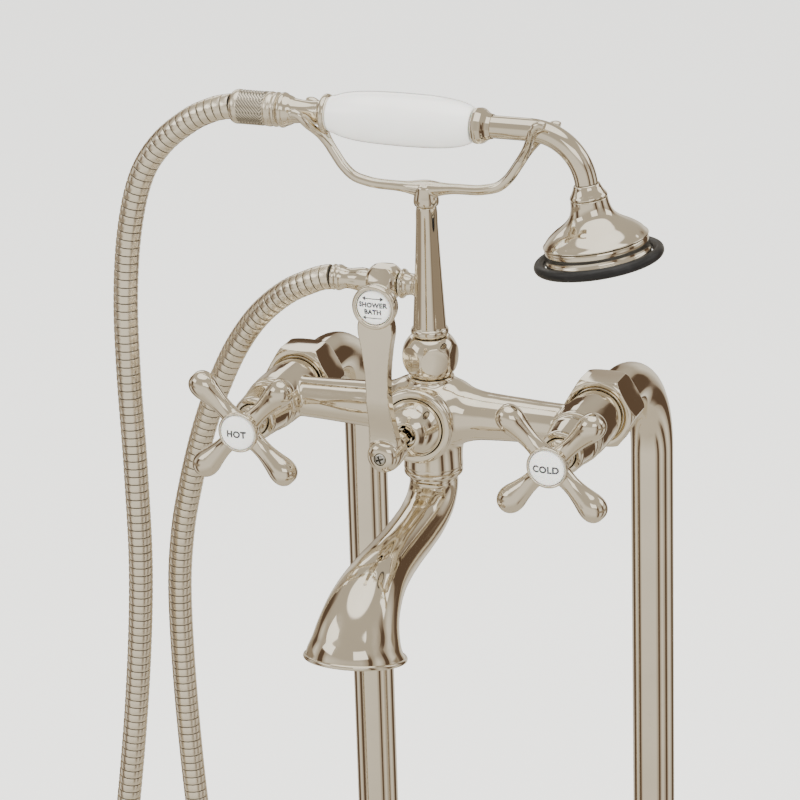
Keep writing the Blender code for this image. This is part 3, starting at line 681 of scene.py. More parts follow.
# ------------------------------------------------------------------ hose
HOSE_ROUTE = [                               # in the frame, metres
    (-0.0566, -0.1180, 0.7622), (-0.0620, -0.1180, 0.7612), (-0.0690, -0.1178, 0.7585),
    (-0.0850, -0.1165, 0.7500), (-0.1030, -0.1140, 0.7345), (-0.1190, -0.1105, 0.7135),
    (-0.1330, -0.1065, 0.6880),
    (-0.1455, -0.1030, 0.6590), (-0.1570, -0.1005, 0.6230), (-0.1650, -0.0995, 0.5880),
    (-0.1690, -0.0990, 0.5450), (-0.1680, -0.0990, 0.4700), (-0.1630, -0.0990, 0.3900),
    (-0.1530, -0.0990, 0.3100), (-0.1400, -0.0990, 0.2350), (-0.1300, -0.1000, 0.1850),
    (-0.1310, -0.1020, 0.1420), (-0.1480, -0.1055, 0.1060), (-0.1800, -0.1110, 0.0920),
    (-0.2130, -0.1165, 0.1050), (-0.2330, -0.1205, 0.1400), (-0.2370, -0.1230, 0.1850),
    (-0.2290, -0.1245, 0.2450), (-0.2140, -0.1255, 0.3250), (-0.1990, -0.1260, 0.4100),
    (-0.1870, -0.1260, 0.4950), (-0.1805, -0.1255, 0.5700), (-0.1800, -0.1250, 0.6350),
    (-0.1815, -0.1240, 0.6950), (-0.1815, -0.1220, 0.7400), (-0.1775, -0.1200, 0.7800),
    (-0.1690, -0.1188, 0.8110), (-0.1555, -0.1182, 0.8310), (-0.1375, -0.1180, 0.8455),
    (-0.1240, -0.1180, 0.8522), (-0.1180, -0.1180, 0.8540), (-0.1122, -0.1180, 0.8551),
]


def smooth_route(route):
    """A Catmull-Rom curve through the route's points, dense enough to measure along."""
    knots = [Vector(point) for point in route]
    knots = [2 * knots[0] - knots[1]] + knots + [2 * knots[-1] - knots[-2]]
    dense = []
    for a, b, c, d in zip(knots, knots[1:], knots[2:], knots[3:]):
        for step in range(24):
            t = step / 24
            dense.append(0.5 * (2 * b + (c - a) * t + (2 * a - 5 * b + 4 * c - d) * t * t
                                + (3 * b - a - 3 * c + d) * t ** 3))
    dense.append(knots[-2])
    return dense


class Ruler:
    """Finds the point at any length along a dense line."""

    def __init__(self, line):
        self.line = line
        self.marks = [0.0]
        for a, b in zip(line, line[1:]):
            self.marks.append(self.marks[-1] + (b - a).length)
        self.length = self.marks[-1]
        self.index = 0

    def at(self, length):
        while self.index < len(self.marks) - 2 and self.marks[self.index + 1] < length:
            self.index += 1
        low, high = self.marks[self.index], self.marks[self.index + 1]
        return self.line[self.index].lerp(self.line[self.index + 1], (length - low) / (high - low))


class FAUCET_OT_hose(bpy.types.Operator):
    """Model the ribbed metal hose from the outlet to the handset"""

    bl_idname = "faucet.hose"
    bl_label = "Hose"

    def execute(self, context):
        sizes = context.scene.faucet_sizes
        ruler = Ruler(smooth_route(HOSE_ROUTE))
        ribs = round(ruler.length / sizes.rib_pitch)
        rib = [(0.0, GROOVE), (0.10, GROOVE), (0.115, 0.985), (0.22, 1.0), (0.88, 1.0), (0.985, 0.985)]
        points, radii = [], []
        for number in range(ribs):
            for share, radius in rib:
                points.append(ruler.at(ruler.length * (number + share) / ribs))
                radii.append(radius)
        points.append(ruler.line[-1])
        radii.append(GROOVE)
        obj = sweep(points, sizes.hose_diameter / 2, radii, sides=6)
        obj.name = "hose"
        obj.data.name = "hose"
        obj.data.materials.append(LOOKS["hose"])
        # painted shade: the faces down in the grooves take this dark second material
        obj.data.materials.append(LOOKS["groove"])
        self.darken_grooves(obj, points, sizes.hose_diameter / 2)
        pick(obj)
        bpy.ops.object.shade_smooth_by_angle(angle=math.radians(60))
        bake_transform(obj)
        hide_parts("shower_hose")
        return {"FINISHED"}

    def darken_grooves(self, obj, points, radius):
        """Give the faces down in the grooves the dark material, painted shade in the grooves."""
        centres = KDTree(len(points))
        for index, point in enumerate(points):
            centres.insert(point, index)
        centres.balance()
        low = [centres.find(vertex.co)[2] < radius * (GROOVE + 0.03) for vertex in obj.data.vertices]
        for face in obj.data.polygons:
            if all(low[index] for index in face.vertices):
                face.material_index = 1


# ------------------------------------------------------------------ body
class FAUCET_OT_body(bpy.types.Operator):
    """Model the bridge casting with its hub, arms, barrels and diverter boss"""

    bl_idname = "faucet.body"
    bl_label = "Body casting"

    def execute(self, context):
        hub = lathe([(0, 21), (12.2, 21), (12.6, 20), (13.4, 16.4), (15.6, 12.4), (18.6, 7.8), (20.3, 2),
                     (20.5, -6), (19.2, -13), (17.3, -18.5), (16.5, -24), (16.4, -32.7), (0, -32.7)],
                    round_edges=False)
        half_arm = [(11.2, 80), (11.5, 68), (12.1, 54), (12.9, 38), (13.8, 28), (15.4, 22), (18.4, 16)]
        arms = lathe([(0, 80)] + half_arm + [(r, -x) for r, x in reversed(half_arm)] + [(0, -80)],
                     RIGHT, round_edges=False)
        boss = lathe([(0, 22), (17.6, 22), (17.6, 6), (0, 6)], FRONT, round_edges=False)
        fuse(hub, arms, boss)
        barrel = [(0, 18.2), (14.2, 18.2), (14.8, 17.4), (15.0, 15.5), (15.1, -21.4), (0, -21.4)]
        for side, _word in SIDES:
            fuse(hub, lathe(barrel, FRONT, (side * HALF_CENTRES, 0, 0), round_edges=False))
        cast(hub, 0.0008, 9)
        details = []
        lip = [(16.9, 28.3), (19.8, 28.4), (21.1, 27.5), (21.5, 26.1), (21.2, 24.7), (20.2, 23.9),
               (19.7, 23.2), (19.9, 22.4), (19.2, 21.4), (17.4, 20.6), (16.9, 20.6)]
        details.append(lathe(lip, FRONT))
        for side, _word in SIDES:
            spot = (side * HALF_CENTRES, 0, 0)
            details.append(lathe([(10.9, 18.7), (13.9, 18.7), (14.7, 18.0), (15.05, 16.6), (15.05, 14),
                                  (10.9, 14)], FRONT, spot))
            details.append(lathe([(11, -20.6), (15.2, -20.6), (15.6, -21.4), (15.6, -31.8),
                                  (11, -31.8)], FRONT, spot))
        details.append(lathe([(8.9, -30.4), (16.45, -30.4), (16.45, -32.7), (8.9, -32.7)]))
        details.append(lathe([(0, 20.9), (12.4, 21.0), (12.9, 20.4), (12.7, 19.2), (0, 19.2)]))
        gather(hub, *details)
        nickel(hub, "bridge_body", "stand", "body_casting", angle=40)
        return {"FINISHED"}


# ------------------------------------------------------------------ supply
class FAUCET_OT_supply(bpy.types.Operator):
    """Model the risers, their floor flanges and the union nuts"""

    bl_idname = "faucet.supply"
    bl_label = "Risers and unions"

    def execute(self, context):
        for side, word in SIDES:
            self.riser(side, word)
            self.nut(side, word)
            self.flange(side, word)
        return {"FINISHED"}

    def riser(self, side, word):
        x = side * HALF_CENTRES
        bend, back, floor = 55.6, 118.0, -690.0
        points = [(x, 34.9, 0), (x, 50, 0), (x, back - bend, 0)]
        for step in range(1, 25):
            angle = math.pi / 2 * step / 24
            points.append((x, back - bend + bend * math.sin(angle), -bend + bend * math.cos(angle)))
        points += [(x, back, -300), (x, back, floor)]
        tube = sweep(from_centre(points), 12.2 * MM, sides=14, caps=False)
        apply(tube, "SOLIDIFY", thickness=1.6 * MM, offset=-1.0)
        nickel(tube, word + "_riser_tube", "stand", word + "_riser")

    def nut(self, side, word):
        spot = (side * HALF_CENTRES, 0, 0)
        nut = lathe([(16.4, -20.0), (18.2, -20.0), (19.4, -20.5), (20.8, -21.8), (21.6, -24.0),
                     (21.6, -37.0), (21.0, -39.2), (19.6, -40.8), (18.2, -41.4), (12.7, -41.4),
                     (12.7, -37.8), (15.9, -37.8), (15.9, -23.2), (16.4, -22.6)], FRONT, spot)
        six_flats(nut, spot, 18.6, 90, (1, 0, 0), (0, 0, 1))
        bevel(nut, 0.0004, 3, 24)
        nickel(nut, word + "_union", "stand", word + "_union_nut", angle=30)

    def flange(self, side, word):
        spot = (side * HALF_CENTRES, 118, -690)
        flange = lathe([(12.6, 26), (15.2, 26), (16.1, 25.2), (16.2, 23.6), (15.8, 22.8), (15.8, 15.5),
                        (17.4, 12), (22, 8.4), (27.6, 5.6), (30.6, 4.6), (31.6, 3.6), (32, 2.2),
                        (32, 0.2), (12.6, 0.2)], UP, spot)
        hole = lathe([(0, 20), (2.3, 20), (2.3, 10), (0, 10)], (-math.pi / 2, 0, 0),
                     (spot[0], spot[1], spot[2] + 20), steps=24, round_edges=False)
        carve(flange, hole)
        nickel(flange, word + "_floor_rose", "stand", word + "_floor_flange")


# ------------------------------------------------------------------ valves
class FAUCET_OT_valves(bpy.types.Operator):
    """Model the bonnets and gland nuts of both valves"""

    bl_idname = "faucet.valves"
    bl_label = "Valve bonnets"

    def execute(self, context):
        for side, word in SIDES:
            spot = (side * HALF_CENTRES, 0, 0)
            bonnet = lathe([(9.3, 42.4), (10.8, 42.4), (11.9, 41.9), (12.4, 40.6), (12.6, 38.0), (13.0, 33),
                            (13.5, 27.5), (13.9, 23.6), (14.2, 22.8), (14.4, 21.6), (14.2, 20.2),
                            (13.6, 19.0), (10.4, 19.0), (10.4, 15.8), (9.3, 15.8)], FRONT, spot)
            nickel(bonnet, word + "_bonnet", "stand", word + "_valve_bonnet")
            gland = lathe([(4.4, 45.9), (5.6, 45.8), (7.2, 45.2), (8.3, 44.0), (8.8, 42.4), (8.8, 34.3),
                           (4.4, 34.3)], FRONT, spot)
            nickel(gland, word + "_gland", "stand", word + "_gland_nut")
        return {"FINISHED"}


class FAUCET_OT_handles(bpy.types.Operator):
    """Model the cross handles and their lettered porcelain buttons"""

    bl_idname = "faucet.handles"
    bl_label = "Cross handles"

    def execute(self, context):
        arms_plane = -56.3
        hub = lathe([(0, 61.2), (9.6, 61.2), (9.8, 58.4), (8.9, 53.5), (7.6, 49.4), (7.2, 46.4),
                     (0, 46.4)], FRONT, round_edges=False)
        teardrop = [(0, 40.1), (2.9, 39.8), (5.3, 38.4), (6.9, 36.0), (7.6, 32.8), (7.4, 29.6), (6.6, 26.2),
                    (5.8, 22.4), (5.2, 18.6), (5.0, 15), (5.2, 11.4), (5.6, 8.6), (6.0, 5.0), (0, 5.0)]
        for quarter in range(4):
            lean = math.radians(45 + 90 * quarter)
            fuse(hub, lathe(teardrop, (0, lean, 0), (0, arms_plane, 0), steps=40, round_edges=False))
        cast(hub, 0.00042, 7)
        well = lathe([(0, 70), (4.4, 70), (4.4, 57), (2.3, 57), (2.3, 54.4), (4.3, 54.4), (4.3, 44),
                      (0, 44)], FRONT, steps=40, round_edges=False)
        carve(hub, well)
        rim = lathe([(10.15, 63.9), (10.4, 64.4), (10.9, 64.5), (11.35, 64.0), (11.5, 63.0), (11.2, 61.6),
                     (10.4, 60.2), (9.4, 58.8), (4.5, 58.8), (4.5, 62.4), (10.1, 62.5)], FRONT)
        gather(hub, rim)
        for side, word in SIDES:
            copy = duplicate(hub)
            place(copy, UP, Vector((side * HALF_CENTRES, 0, 0)) - CENTRE / MM)
            body = word + "_valve_stem"
            nickel(copy, word + "_cross_handle", body, word + "_handle", angle=40)
            self.button(side, word, body)
        bpy.data.objects.remove(hub, do_unlink=True)
        return {"FINISHED"}

    def button(self, side, word, body):
        spot = (side * HALF_CENTRES, 0, 0)
        button = lathe([(0, 66.1), (2.2, 66.05), (4.6, 65.8), (7.0, 65.25), (8.9, 64.5), (9.7, 63.9),
                        (9.95, 63.3), (9.8, 62.8), (0, 62.8)], FRONT, spot)
        finished(button, word + "_porcelain", "porcelain", "white_porcelain", body,
                 word + "_index_button")
        letters([(word.upper(), 3.7, 0.0, -0.4)], button, word + "_lettering", body, spot, 70.0)


def letters(lines, button, name, body, spot, start, marks=()):
    """Lettering pressed on to a domed button; each line is text, size, across and height."""
    pieces = []
    for text, size, across, height in lines:
        deselect()
        bpy.ops.object.text_add()
        obj = bpy.context.object
        obj.data.body = text
        obj.data.size = size * 1.38 * MM
        obj.data.offset = 0.055 * size * MM
        obj.data.align_x = "CENTER"
        obj.data.align_y = "CENTER"
        obj.data.space_character = 1.08
        obj.data.resolution_u = 4
        bpy.ops.object.convert(target="MESH")
        obj = bpy.context.object
        place(obj, FRONT, (spot[0] + across, -start, spot[2] + height))
        pieces.append(obj)
    for width, across, height, ends in marks:
        pieces.append(arrow(width, (spot[0] + across, -start, spot[2] + height), ends))
    whole = gather(pieces[0], *pieces[1:])
    apply(whole, "SUBSURF", subdivision_type="SIMPLE", levels=1)
    apply(whole, "SHRINKWRAP", wrap_method="PROJECT", target=button, use_project_x=False,
          use_project_y=True, use_project_z=False, use_positive_direction=True,
          use_negative_direction=True, offset=0.0001)
    apply(whole, "SOLIDIFY", thickness=0.00018, offset=-1.0)
    edit(whole)
    bpy.ops.mesh.normals_make_consistent(inside=False)
    leave()
    finished(whole, name, "ink", "white_porcelain", body)


def arrow(width, at, ends):
    """A thin flat arrow with a head at the named ends."""
    deselect()
    bpy.ops.mesh.primitive_plane_add(size=1.0)
    shaft = bpy.context.object
    shaft.scale = (width * MM, 0.5 * MM, 1.0)
    bpy.ops.object.transform_apply(location=False, rotation=False, scale=True)
    heads = []
    for end in ends:
        deselect()
        bpy.ops.mesh.primitive_circle_add(vertices=3, radius=1.3 * MM, fill_type="NGON")
        head = bpy.context.object
        head.rotation_euler = (0, 0, -end * math.pi / 2)
        head.location = (end * width / 2 * MM, 0, 0)
        bpy.ops.object.transform_apply(location=True, rotation=True, scale=True)
        heads.append(head)
    gather(shaft, *heads)
    return place(shaft, FRONT, at)


# ------------------------------------------------------------------ diverter
class FAUCET_OT_diverter(bpy.types.Operator):
    """Model the diverter's domed bonnet"""

    bl_idname = "faucet.diverter"
    bl_label = "Diverter bonnet"

    def execute(self, context):
        bonnet = lathe([(6.2, 42.6), (6.8, 43.3), (7.8, 43.1), (9.6, 41.9), (11.6, 40.2), (13.6, 37.3),
                        (15.2, 33.6), (16.3, 29.4), (16.8, 25), (16.8, 20.6), (11.4, 20.6), (11.4, 5.6),
                        (7.6, 5.6), (7.6, 9.0), (4.9, 9.0), (4.9, 38.0), (6.2, 38.0)], FRONT)
        nickel(bonnet, "diverter_dome", "stand", "diverter_bonnet")
        return {"FINISHED"}


class FAUCET_OT_lever(bpy.types.Operator):
    """Model the diverter lever with its porcelain disc and its screw"""

    bl_idname = "faucet.lever"
    bl_label = "Diverter lever"

    def execute(self, context):
        body = "diverter_stem"
        head_height = 86.0
        flank = [(8.2, -1), (8.0, 6), (7.1, 16), (6.5, 28), (6.3, 40), (6.8, 51), (8.3, 63), (9.9, 74)]
        right = [(w, h, 0.0) for w, h in flank]
        arc = [(10.4 * math.cos(a), head_height + 10.4 * math.sin(a), 0.0)
               for a in (math.radians(-30 + 240 * n / 12) for n in range(13))]
        outline = curve_through(right + arc + [(-w, h, 0.0) for w, h, _z in reversed(right)], 4, 80)
        data, spline = straight_runs([(point.x * MM, point.y * MM, 0.0) for point in outline])
        data.dimensions = "2D"
        data.fill_mode = "BOTH"
        data.extrude = 3.6 * MM
        spline.use_cyclic_u = True
        bpy.ops.object.convert(target="MESH")
        lever = bpy.context.object
        edit(lever)
        clean()
        place(lever, FRONT, (0, -76.2, 0))
        for height in range(2, 40, 3):
            edit(lever)
            bpy.ops.mesh.bisect(plane_co=CENTRE + Vector((0, 0, height * MM)), plane_no=(0, 0, 1))
            leave()
        for point in lever.data.vertices:
            height = (point.co.z - CENTRE.z) / MM
            rise = min(1.0, max(0.0, (height - LEVER_BEND_START) / LEVER_BEND_LENGTH))
            point.co.y += LEVER_SET * (1.0 - rise * rise * (3.0 - 2.0 * rise)) * MM
        boss = lathe([(0, 78.4), (3.6, 78.2), (6.2, 77.3), (8.2, 75.4), (9.2, 72.6), (9.4, 69), (9.2, 64),
                      (8.8, 60), (8.1, 58.6), (7.2, 58), (0, 58)], FRONT, round_edges=False)
        neck = lathe([(0, 79.6), (9.4, 79.6), (9.8, 76), (9.2, 72.9), (0, 72.9)], FRONT,
                     (0, 0, head_height), round_edges=False)
        fuse(lever, boss, neck)
        cast(lever, 0.00045, 6)
        hollow = lathe([(0, 90), (3.6, 90), (3.6, 75.6), (2.2, 75.6), (2.2, 69.9), (4.8, 69.9), (4.8, 50),
                        (0, 50)], FRONT, steps=40, round_edges=False)
        recess = lathe([(0, 90), (9.95, 90), (9.95, 77.6), (0, 77.6)], FRONT, (0, 0, head_height),
                       round_edges=False)
        carve(lever, hollow, recess)
        cup = lathe([(9.75, 80.2), (10.3, 80.8), (11.3, 80.9), (12.0, 80.2), (12.3, 78.9), (12.1, 77.2),
                     (11.4, 76.3), (11.5, 75.4), (11.6, 74.0), (10.8, 72.4), (9.2, 71.6), (0, 71.5),
                     (0, 77.9), (9.7, 77.9)], FRONT, (0, 0, head_height))
        gather(lever, cup)
        nickel(lever, "lever", body, "diverter_lever", angle=40)
        button = lathe([(0, 81.4), (3, 81.3), (6, 80.95), (8.2, 80.4), (9.2, 79.8), (9.5, 79.0), (9.4, 78.4),
                        (0, 78.4)], FRONT, (0, 0, head_height))
        finished(button, "lever_porcelain", "porcelain", "white_porcelain", body, "lever_index_button")
        letters([("SHOWER", 2.6, 0, 1.75), ("BATH", 2.6, 0, -2.05)], button, "lever_lettering", body,
                (0, 0, head_height), 84.0,
                marks=[(9.6, 0, 5.3, (-1, 1)), (9.6, 0, -5.4, (-1,))])
        self.screw(body)
        return {"FINISHED"}

    def screw(self, body):
        screw = lathe([(0, 79.2), (1.8, 79.0), (2.9, 78.4), (3.3, 77.6), (3.3, 75.9), (1.9, 75.9),
                       (1.9, 60), (0, 60)], FRONT, steps=40)
        for angle in (math.radians(20), math.radians(110)):
            deselect()
            bpy.ops.mesh.primitive_cube_add(size=1.0)
            slot = bpy.context.object
            slot.scale = (4.6 * MM, 1.1 * MM, 3.0 * MM)
            slot.rotation_euler = (0, 0, angle)
            bpy.ops.object.transform_apply(location=False, rotation=True, scale=True)
            carve(screw, place(slot, FRONT, (0, -79.2, 0)))
        finished(screw, "lever_fixing_screw", "steel", "stainless_screw", body, "lever_screw")
        # painted shade: the faces inside the cross recess take the dark material
        screw.data.materials.append(LOOKS["groove"])
        cross_reach, cross_front, cross_floor = 2.6, -78.6, -77.0
        for face in screw.data.polygons:
            spot = (face.center - CENTRE) / MM
            if math.hypot(spot.x, spot.z) < cross_reach and cross_front < spot.y < cross_floor:
                face.material_index = 1


# ------------------------------------------------------------------ spout
class FAUCET_OT_spout(bpy.types.Operator):
    """Model the curved spout and the collar above it"""

    bl_idname = "faucet.spout"
    bl_label = "Spout"

    def execute(self, context):
        reach = [(0, -37.0), (0, -42.5), (-5.0, -50.2), (-17, -56.2), (-34, -59.4), (-53, -61.4),
                 (-71, -63.2), (-87, -65.8), (-100, -70.2), (-110, -76.4), (-115.8, -83),
                 (-119.2, -89.4), (-120.8, -93.6), (-121.4, -96.4)]
        widths = [13.4, 13.5, 13.6, 13.6, 13.6, 13.8, 14.7, 16.3, 18.4, 20.5, 22.4, 24.3, 26.2, 27.2]
        path = curve_through([(y, z, w) for (y, z), w in zip(reach, widths)], 7, 80)
        points = from_centre([(0.0, p.x, p.y) for p in path])
        outer = sweep(points, MM, [p.z for p in path], sides=30, caps=False)
        apply(outer, "SOLIDIFY", thickness=1.7 * MM, offset=-1.0)
        tilt = math.radians(11.7)
        lip = [(25.0, 0.9), (26.4, 1.6), (27.5, 1.2), (27.9, 0.2), (27.6, -0.8), (26.6, -1.2),
               (25.3, -0.8), (24.8, 0.1)]
        ring = lathe(lip, (-tilt, 0, 0), (0, *reach[-1]))
        spigot = lathe([(5.6, -20), (8.7, -20), (8.7, -25.6), (7.2, -25.6), (7.2, -28.4), (8.7, -28.4),
                        (8.7, -37.0), (12.9, -37.0), (13.45, -37.5), (13.45, -39.4), (5.6, -39.4)])
        gather(outer, ring, spigot)
        nickel(outer, "curved_spout", "swing_spout", "spout", angle=40)
        collar = lathe([(9.1, -33.0), (14.8, -33.0), (15.8, -33.4), (16.35, -34.4), (16.2, -35.5),
                        (15.4, -36.4), (14.4, -36.7), (9.1, -36.7)])
        nickel(collar, "neck_bead", "stand", "spout_collar")
        return {"FINISHED"}


# ------------------------------------------------------------------ column
def ball(radius, low, high, bore, centre, turn, at):
    rows = 16
    top, bottom = math.acos(high / radius), math.acos(low / radius)
    profile = [(bore, centre + high)]
    for row in range(rows):
        angle = top + (bottom - top) * row / (rows - 1)
        profile.append((radius * math.sin(angle), centre + radius * math.cos(angle)))
    profile.append((bore, centre + low))
    return lathe(profile, turn, at, round_edges=False)


class FAUCET_OT_column(bpy.types.Operator):
    """Model the column, its ball nut and the nut of its side outlet"""

    bl_idname = "faucet.column"
    bl_label = "Column and nuts"

    def execute(self, context):
        nut = ball(15.7, -11.0, 11.3, 8.6, 32.4, UP, (0, 0, 0))
        six_flats(nut, (0, 0, 32.4), 13.8, 0, (1, 0, 0), (0, 1, 0))
        bevel(nut, 0.0003, 2, 20)
        nickel(nut, "ball_nut", "stand", "column_nut", angle=20)
        post = lathe([(3.4, 118), (4.9, 118), (5.5, 117.6), (5.65, 116.6), (6.0, 108), (9.05, 50.6),
                      (9.15, 48.9), (9.9, 48.3), (10.35, 47.2), (10.3, 45.6), (9.7, 44.7), (9.2, 44.1),
                      (8.2, 44.1), (8.2, 19.2), (4, 19.2), (4, 100), (3.4, 100)])
        branch = lathe([(3.0, 24.0), (6.1, 24.0), (6.1, 15.6), (8.0, 15.6), (8.3, 15.0), (8.1, 14.2),
                        (7.0, 13.2), (6.2, 11.6), (5.9, 9.6), (6.2, 7.8), (7.2, 6.4), (7.8, 5.2), (3.0, 5.2)],
                       LEFT, (0, 0, OUTLET_HEIGHT))
        gather(post, branch)
        nickel(post, "post", "stand", "column")
        nut = ball(11.1, -8.8, 8.8, 6.6, 25.6, LEFT, (0, 0, OUTLET_HEIGHT))
        six_flats(nut, (-25.6, 0, OUTLET_HEIGHT), 9.2, 90, (0, 1, 0), (0, 0, 1))
        bevel(nut, 0.0003, 2, 20)
        nickel(nut, "outlet_ball_nut", "stand", "hose_outlet_nut", angle=20)
        ferrule = lathe([(4.2, 56.2), (5.6, 56.2), (6.9, 55.9), (7.15, 55.0), (6.8, 54.2), (6.6, 53.8),
                         (7.1, 53.0), (7.2, 51.8), (6.9, 50.9), (6.5, 50.3), (6.5, 36.6), (6.2, 35.4),
                         (6.2, 25.9), (4.2, 25.9)], LEFT, (0, 0, OUTLET_HEIGHT))
        nickel(ferrule, "outlet_ferrule", "stand", "hose_ferrule")
        return {"FINISHED"}


class FAUCET_OT_cradle(bpy.types.Operator):
    """Model the cradle: stem, rod and two curled forks"""

    bl_idname = "faucet.cradle"
    bl_label = "Cradle"

    def execute(self, context):
        stem = lathe([(0, 131.0), (2.6, 130.9), (4.6, 130.0), (5.6, 128.6), (5.9, 126.8), (6.4, 124.2),
                      (6.9, 121.6), (6.9, 119.6), (6.5, 118.4), (0, 118.4)], round_edges=False)
        rod_line = [(-FORK_REACH, 0, FORK_HEIGHT), (-52.4, 0, 143.2), (-47.6, 0, 136.4),
                    (-41.6, 0, 131.2), (-34, 0, 128.9), (-16, 0, 127.8), (0, 0, 127.4)]
        rod_line += [(-x, y, z + FORK_STEP) for x, y, z in reversed(rod_line[:-1])]
        line = curve_through(rod_line, 8, 80)
        thick = [1.0 + 0.75 * math.exp(-((p.x / 9.0) ** 2)) for p in line]
        rod = sweep(from_centre(line), 2.85 * MM, thick, sides=8)
        fuse(stem, rod)
        for side in (-1, 1):
            for front in (-1, 1):
                fuse(stem, self.prong(side, front))
        cast(stem, 0.00036, 3)
        stud = lathe([(0, 119.4), (3.0, 119.4), (3.0, 106), (0, 106)], steps=32)
        gather(stem, stud)
        nickel(stem, "handset_cradle", "stand", "cradle", angle=50)
        return {"FINISHED"}

    def prong(self, side, front):
        twist = math.radians(17) if side > 0 else 0.0
        root = Vector((side * FORK_REACH, 0.0, FORK_HEIGHT + (FORK_STEP if side > 0 else 0.0)))
        rise = Vector((side * 0.535, 0.0, 0.845))
        outward = Vector((side * 0.845, 0.0, -0.535))
        shape = [(-4 - 0.3 * front, 0.4, 0), (0, 1.4, 0), (4, 3.0, 0), (8, 5.8, 0), (12, 9.2, 0),
                 (16, 11.5, 0), (19.4, 12.3, 0.4), (21.6, 12.4, 2.0), (22.4, 12.4, 4.4)]
        points = []
        for along, spread, curl in shape:
            lift = -front * math.sin(twist) * spread * 0.9
            points.append(root + rise * along + outward * curl
                          + Vector((0, front * spread * math.cos(twist), lift)))
        line = curve_through(points, 5, 80)
        count = len(line) - 1
        swell = [1.0 - 0.1 * math.sin(math.pi * n / count) for n in range(count)] + [0.85]
        return sweep(from_centre(line), 2.6 * MM, swell, sides=6)


# ------------------------------------------------------------------ handset
class FAUCET_OT_handset(bpy.types.Operator):
    """Model the handset from its knurled nut to the elbow"""

    bl_idname = "faucet.handset"
    bl_label = "Handset"

    def execute(self, context):
        axis = (0, 0, HANDSET_HEIGHT)
        nut = lathe([(5.0, 111.6), (7.4, 111.6), (8.4, 111.0), (9.1, 110.0), (9.5, 108.6), (9.5, 107.0),
                     (9.1, 106.6), (9.1, 90.6), (9.5, 90.2), (9.5, 88.0), (9.0, 87.2), (9.0, 86.6),
                     (9.5, 85.8), (9.5, 84.6), (8.4, 83.5), (6.9, 83.5), (6.9, 104), (5.0, 104)], LEFT, axis)
        gather(nut, self.knurl(axis))
        finished(nut, "knurled_nut", "knurl", "polished_nickel", "handset", "handset_hose_nut")
        tail = lathe([(3.4, 101.9), (6.6, 101.9), (6.6, 83.1), (9.0, 83.1), (9.5, 82.4), (9.5, 80.6),
                      (8.9, 79.8), (8.0, 77.2), (7.0, 75.4), (6.65, 73.4), (6.6, 61.6), (6.9, 59.8),
                      (7.8, 58.8), (9.6, 58.3), (10.6, 57.4), (10.7, 56.2), (10.3, 55.0), (9.8, 54.6),
                      (5.4, 54.6), (5.4, 72), (3.4, 72)], LEFT, axis)
        nickel(tail, "tail", "handset", "handset_tail")
        grip = lathe([(5.4, 54.3), (9.2, 54.3), (9.7, 53.7), (10.6, 51), (12.0, 46.6), (13.1, 40.6),
                      (13.9, 32), (14.35, 20), (14.4, 6), (14.05, -6), (13.1, -16), (11.6, -23.2),
                      (10.0, -27.0), (9.3, -28.2), (5.4, -28.2)], LEFT, axis, detail=8)
        finished(grip, "porcelain_grip", "porcelain", "white_porcelain", "handset", "handset_grip")
        ferrule = lathe([(5.4, -28.7), (8.4, -28.7), (9.3, -29.2), (9.9, -30.6), (10.0, -32.4), (9.4, -34.2),
                         (8.1, -36.0), (7.2, -37.4), (6.9, -39.2), (6.4, -39.2), (6.4, -36.4),
                         (5.4, -36.4)], LEFT, axis, steps=FERRULE_FACETS)
        nickel(ferrule, "grip_ferrule", "handset", "handset_ferrule", angle=24)
        self.elbow()
        return {"FINISHED"}

    def knurl(self, axis):
        """A sleeve of small diamond points."""
        around, rows = 66, 19
        deselect()
        bpy.ops.mesh.primitive_cylinder_add(vertices=around, radius=KNURL_ROOT * MM,
                                            depth=KNURL_LENGTH * MM, end_fill_type="NOTHING")
        sleeve = bpy.context.object
        edit(sleeve)
        bpy.ops.mesh.select_mode(type="EDGE")
        bpy.ops.mesh.select_all(action="DESELECT")
        leave()
        for edge in sleeve.data.edges:
            low, high = (sleeve.data.vertices[i].co.z for i in edge.vertices)
            edge.select = abs(low - high) > 0.001
        bpy.ops.object.mode_set(mode="EDIT")
        bpy.ops.mesh.subdivide_edgering(number_cuts=rows - 2, interpolation="LINEAR",
                                        profile_shape_factor=0.0)
        bpy.ops.mesh.select_mode(type="VERT")
        bpy.ops.mesh.select_all(action="DESELECT")
        leave()
        for point in sleeve.data.vertices:
            column = round(math.atan2(point.co.y, point.co.x) / (2 * math.pi) * around)
            row = round((point.co.z / (KNURL_LENGTH * MM) + 0.5) * (rows - 1))
            point.select = (column + row) % 2 == 0
        bpy.ops.object.mode_set(mode="EDIT")
        bpy.ops.transform.shrink_fatten(value=KNURL_RISE * MM)
        leave()
        edit(sleeve)
        clean()
        apply(sleeve, "SOLIDIFY", thickness=0.3 * MM, offset=-1.0)
        return place(sleeve, LEFT, (KNURL_MIDDLE, axis[1], axis[2]))

    def elbow(self):
        points = [(36.6, 0, HANDSET_HEIGHT), (ELBOW_START, 0, HANDSET_HEIGHT)]
        for step in range(1, 29):
            angle = ELBOW_SWEEP * step / 28
            points.append((ELBOW_START + ELBOW_BEND * math.sin(angle), 0,
                           HANDSET_HEIGHT + ELBOW_BEND * (math.cos(angle) - 1)))
        points.append(ELBOW_END)
        tube = sweep(from_centre(points), 6.2 * MM, sides=12, caps=False)
        apply(tube, "SOLIDIFY", thickness=1.3 * MM, offset=-1.0)
        nickel(tube, "elbow_tube", "handset", "handset_elbow")


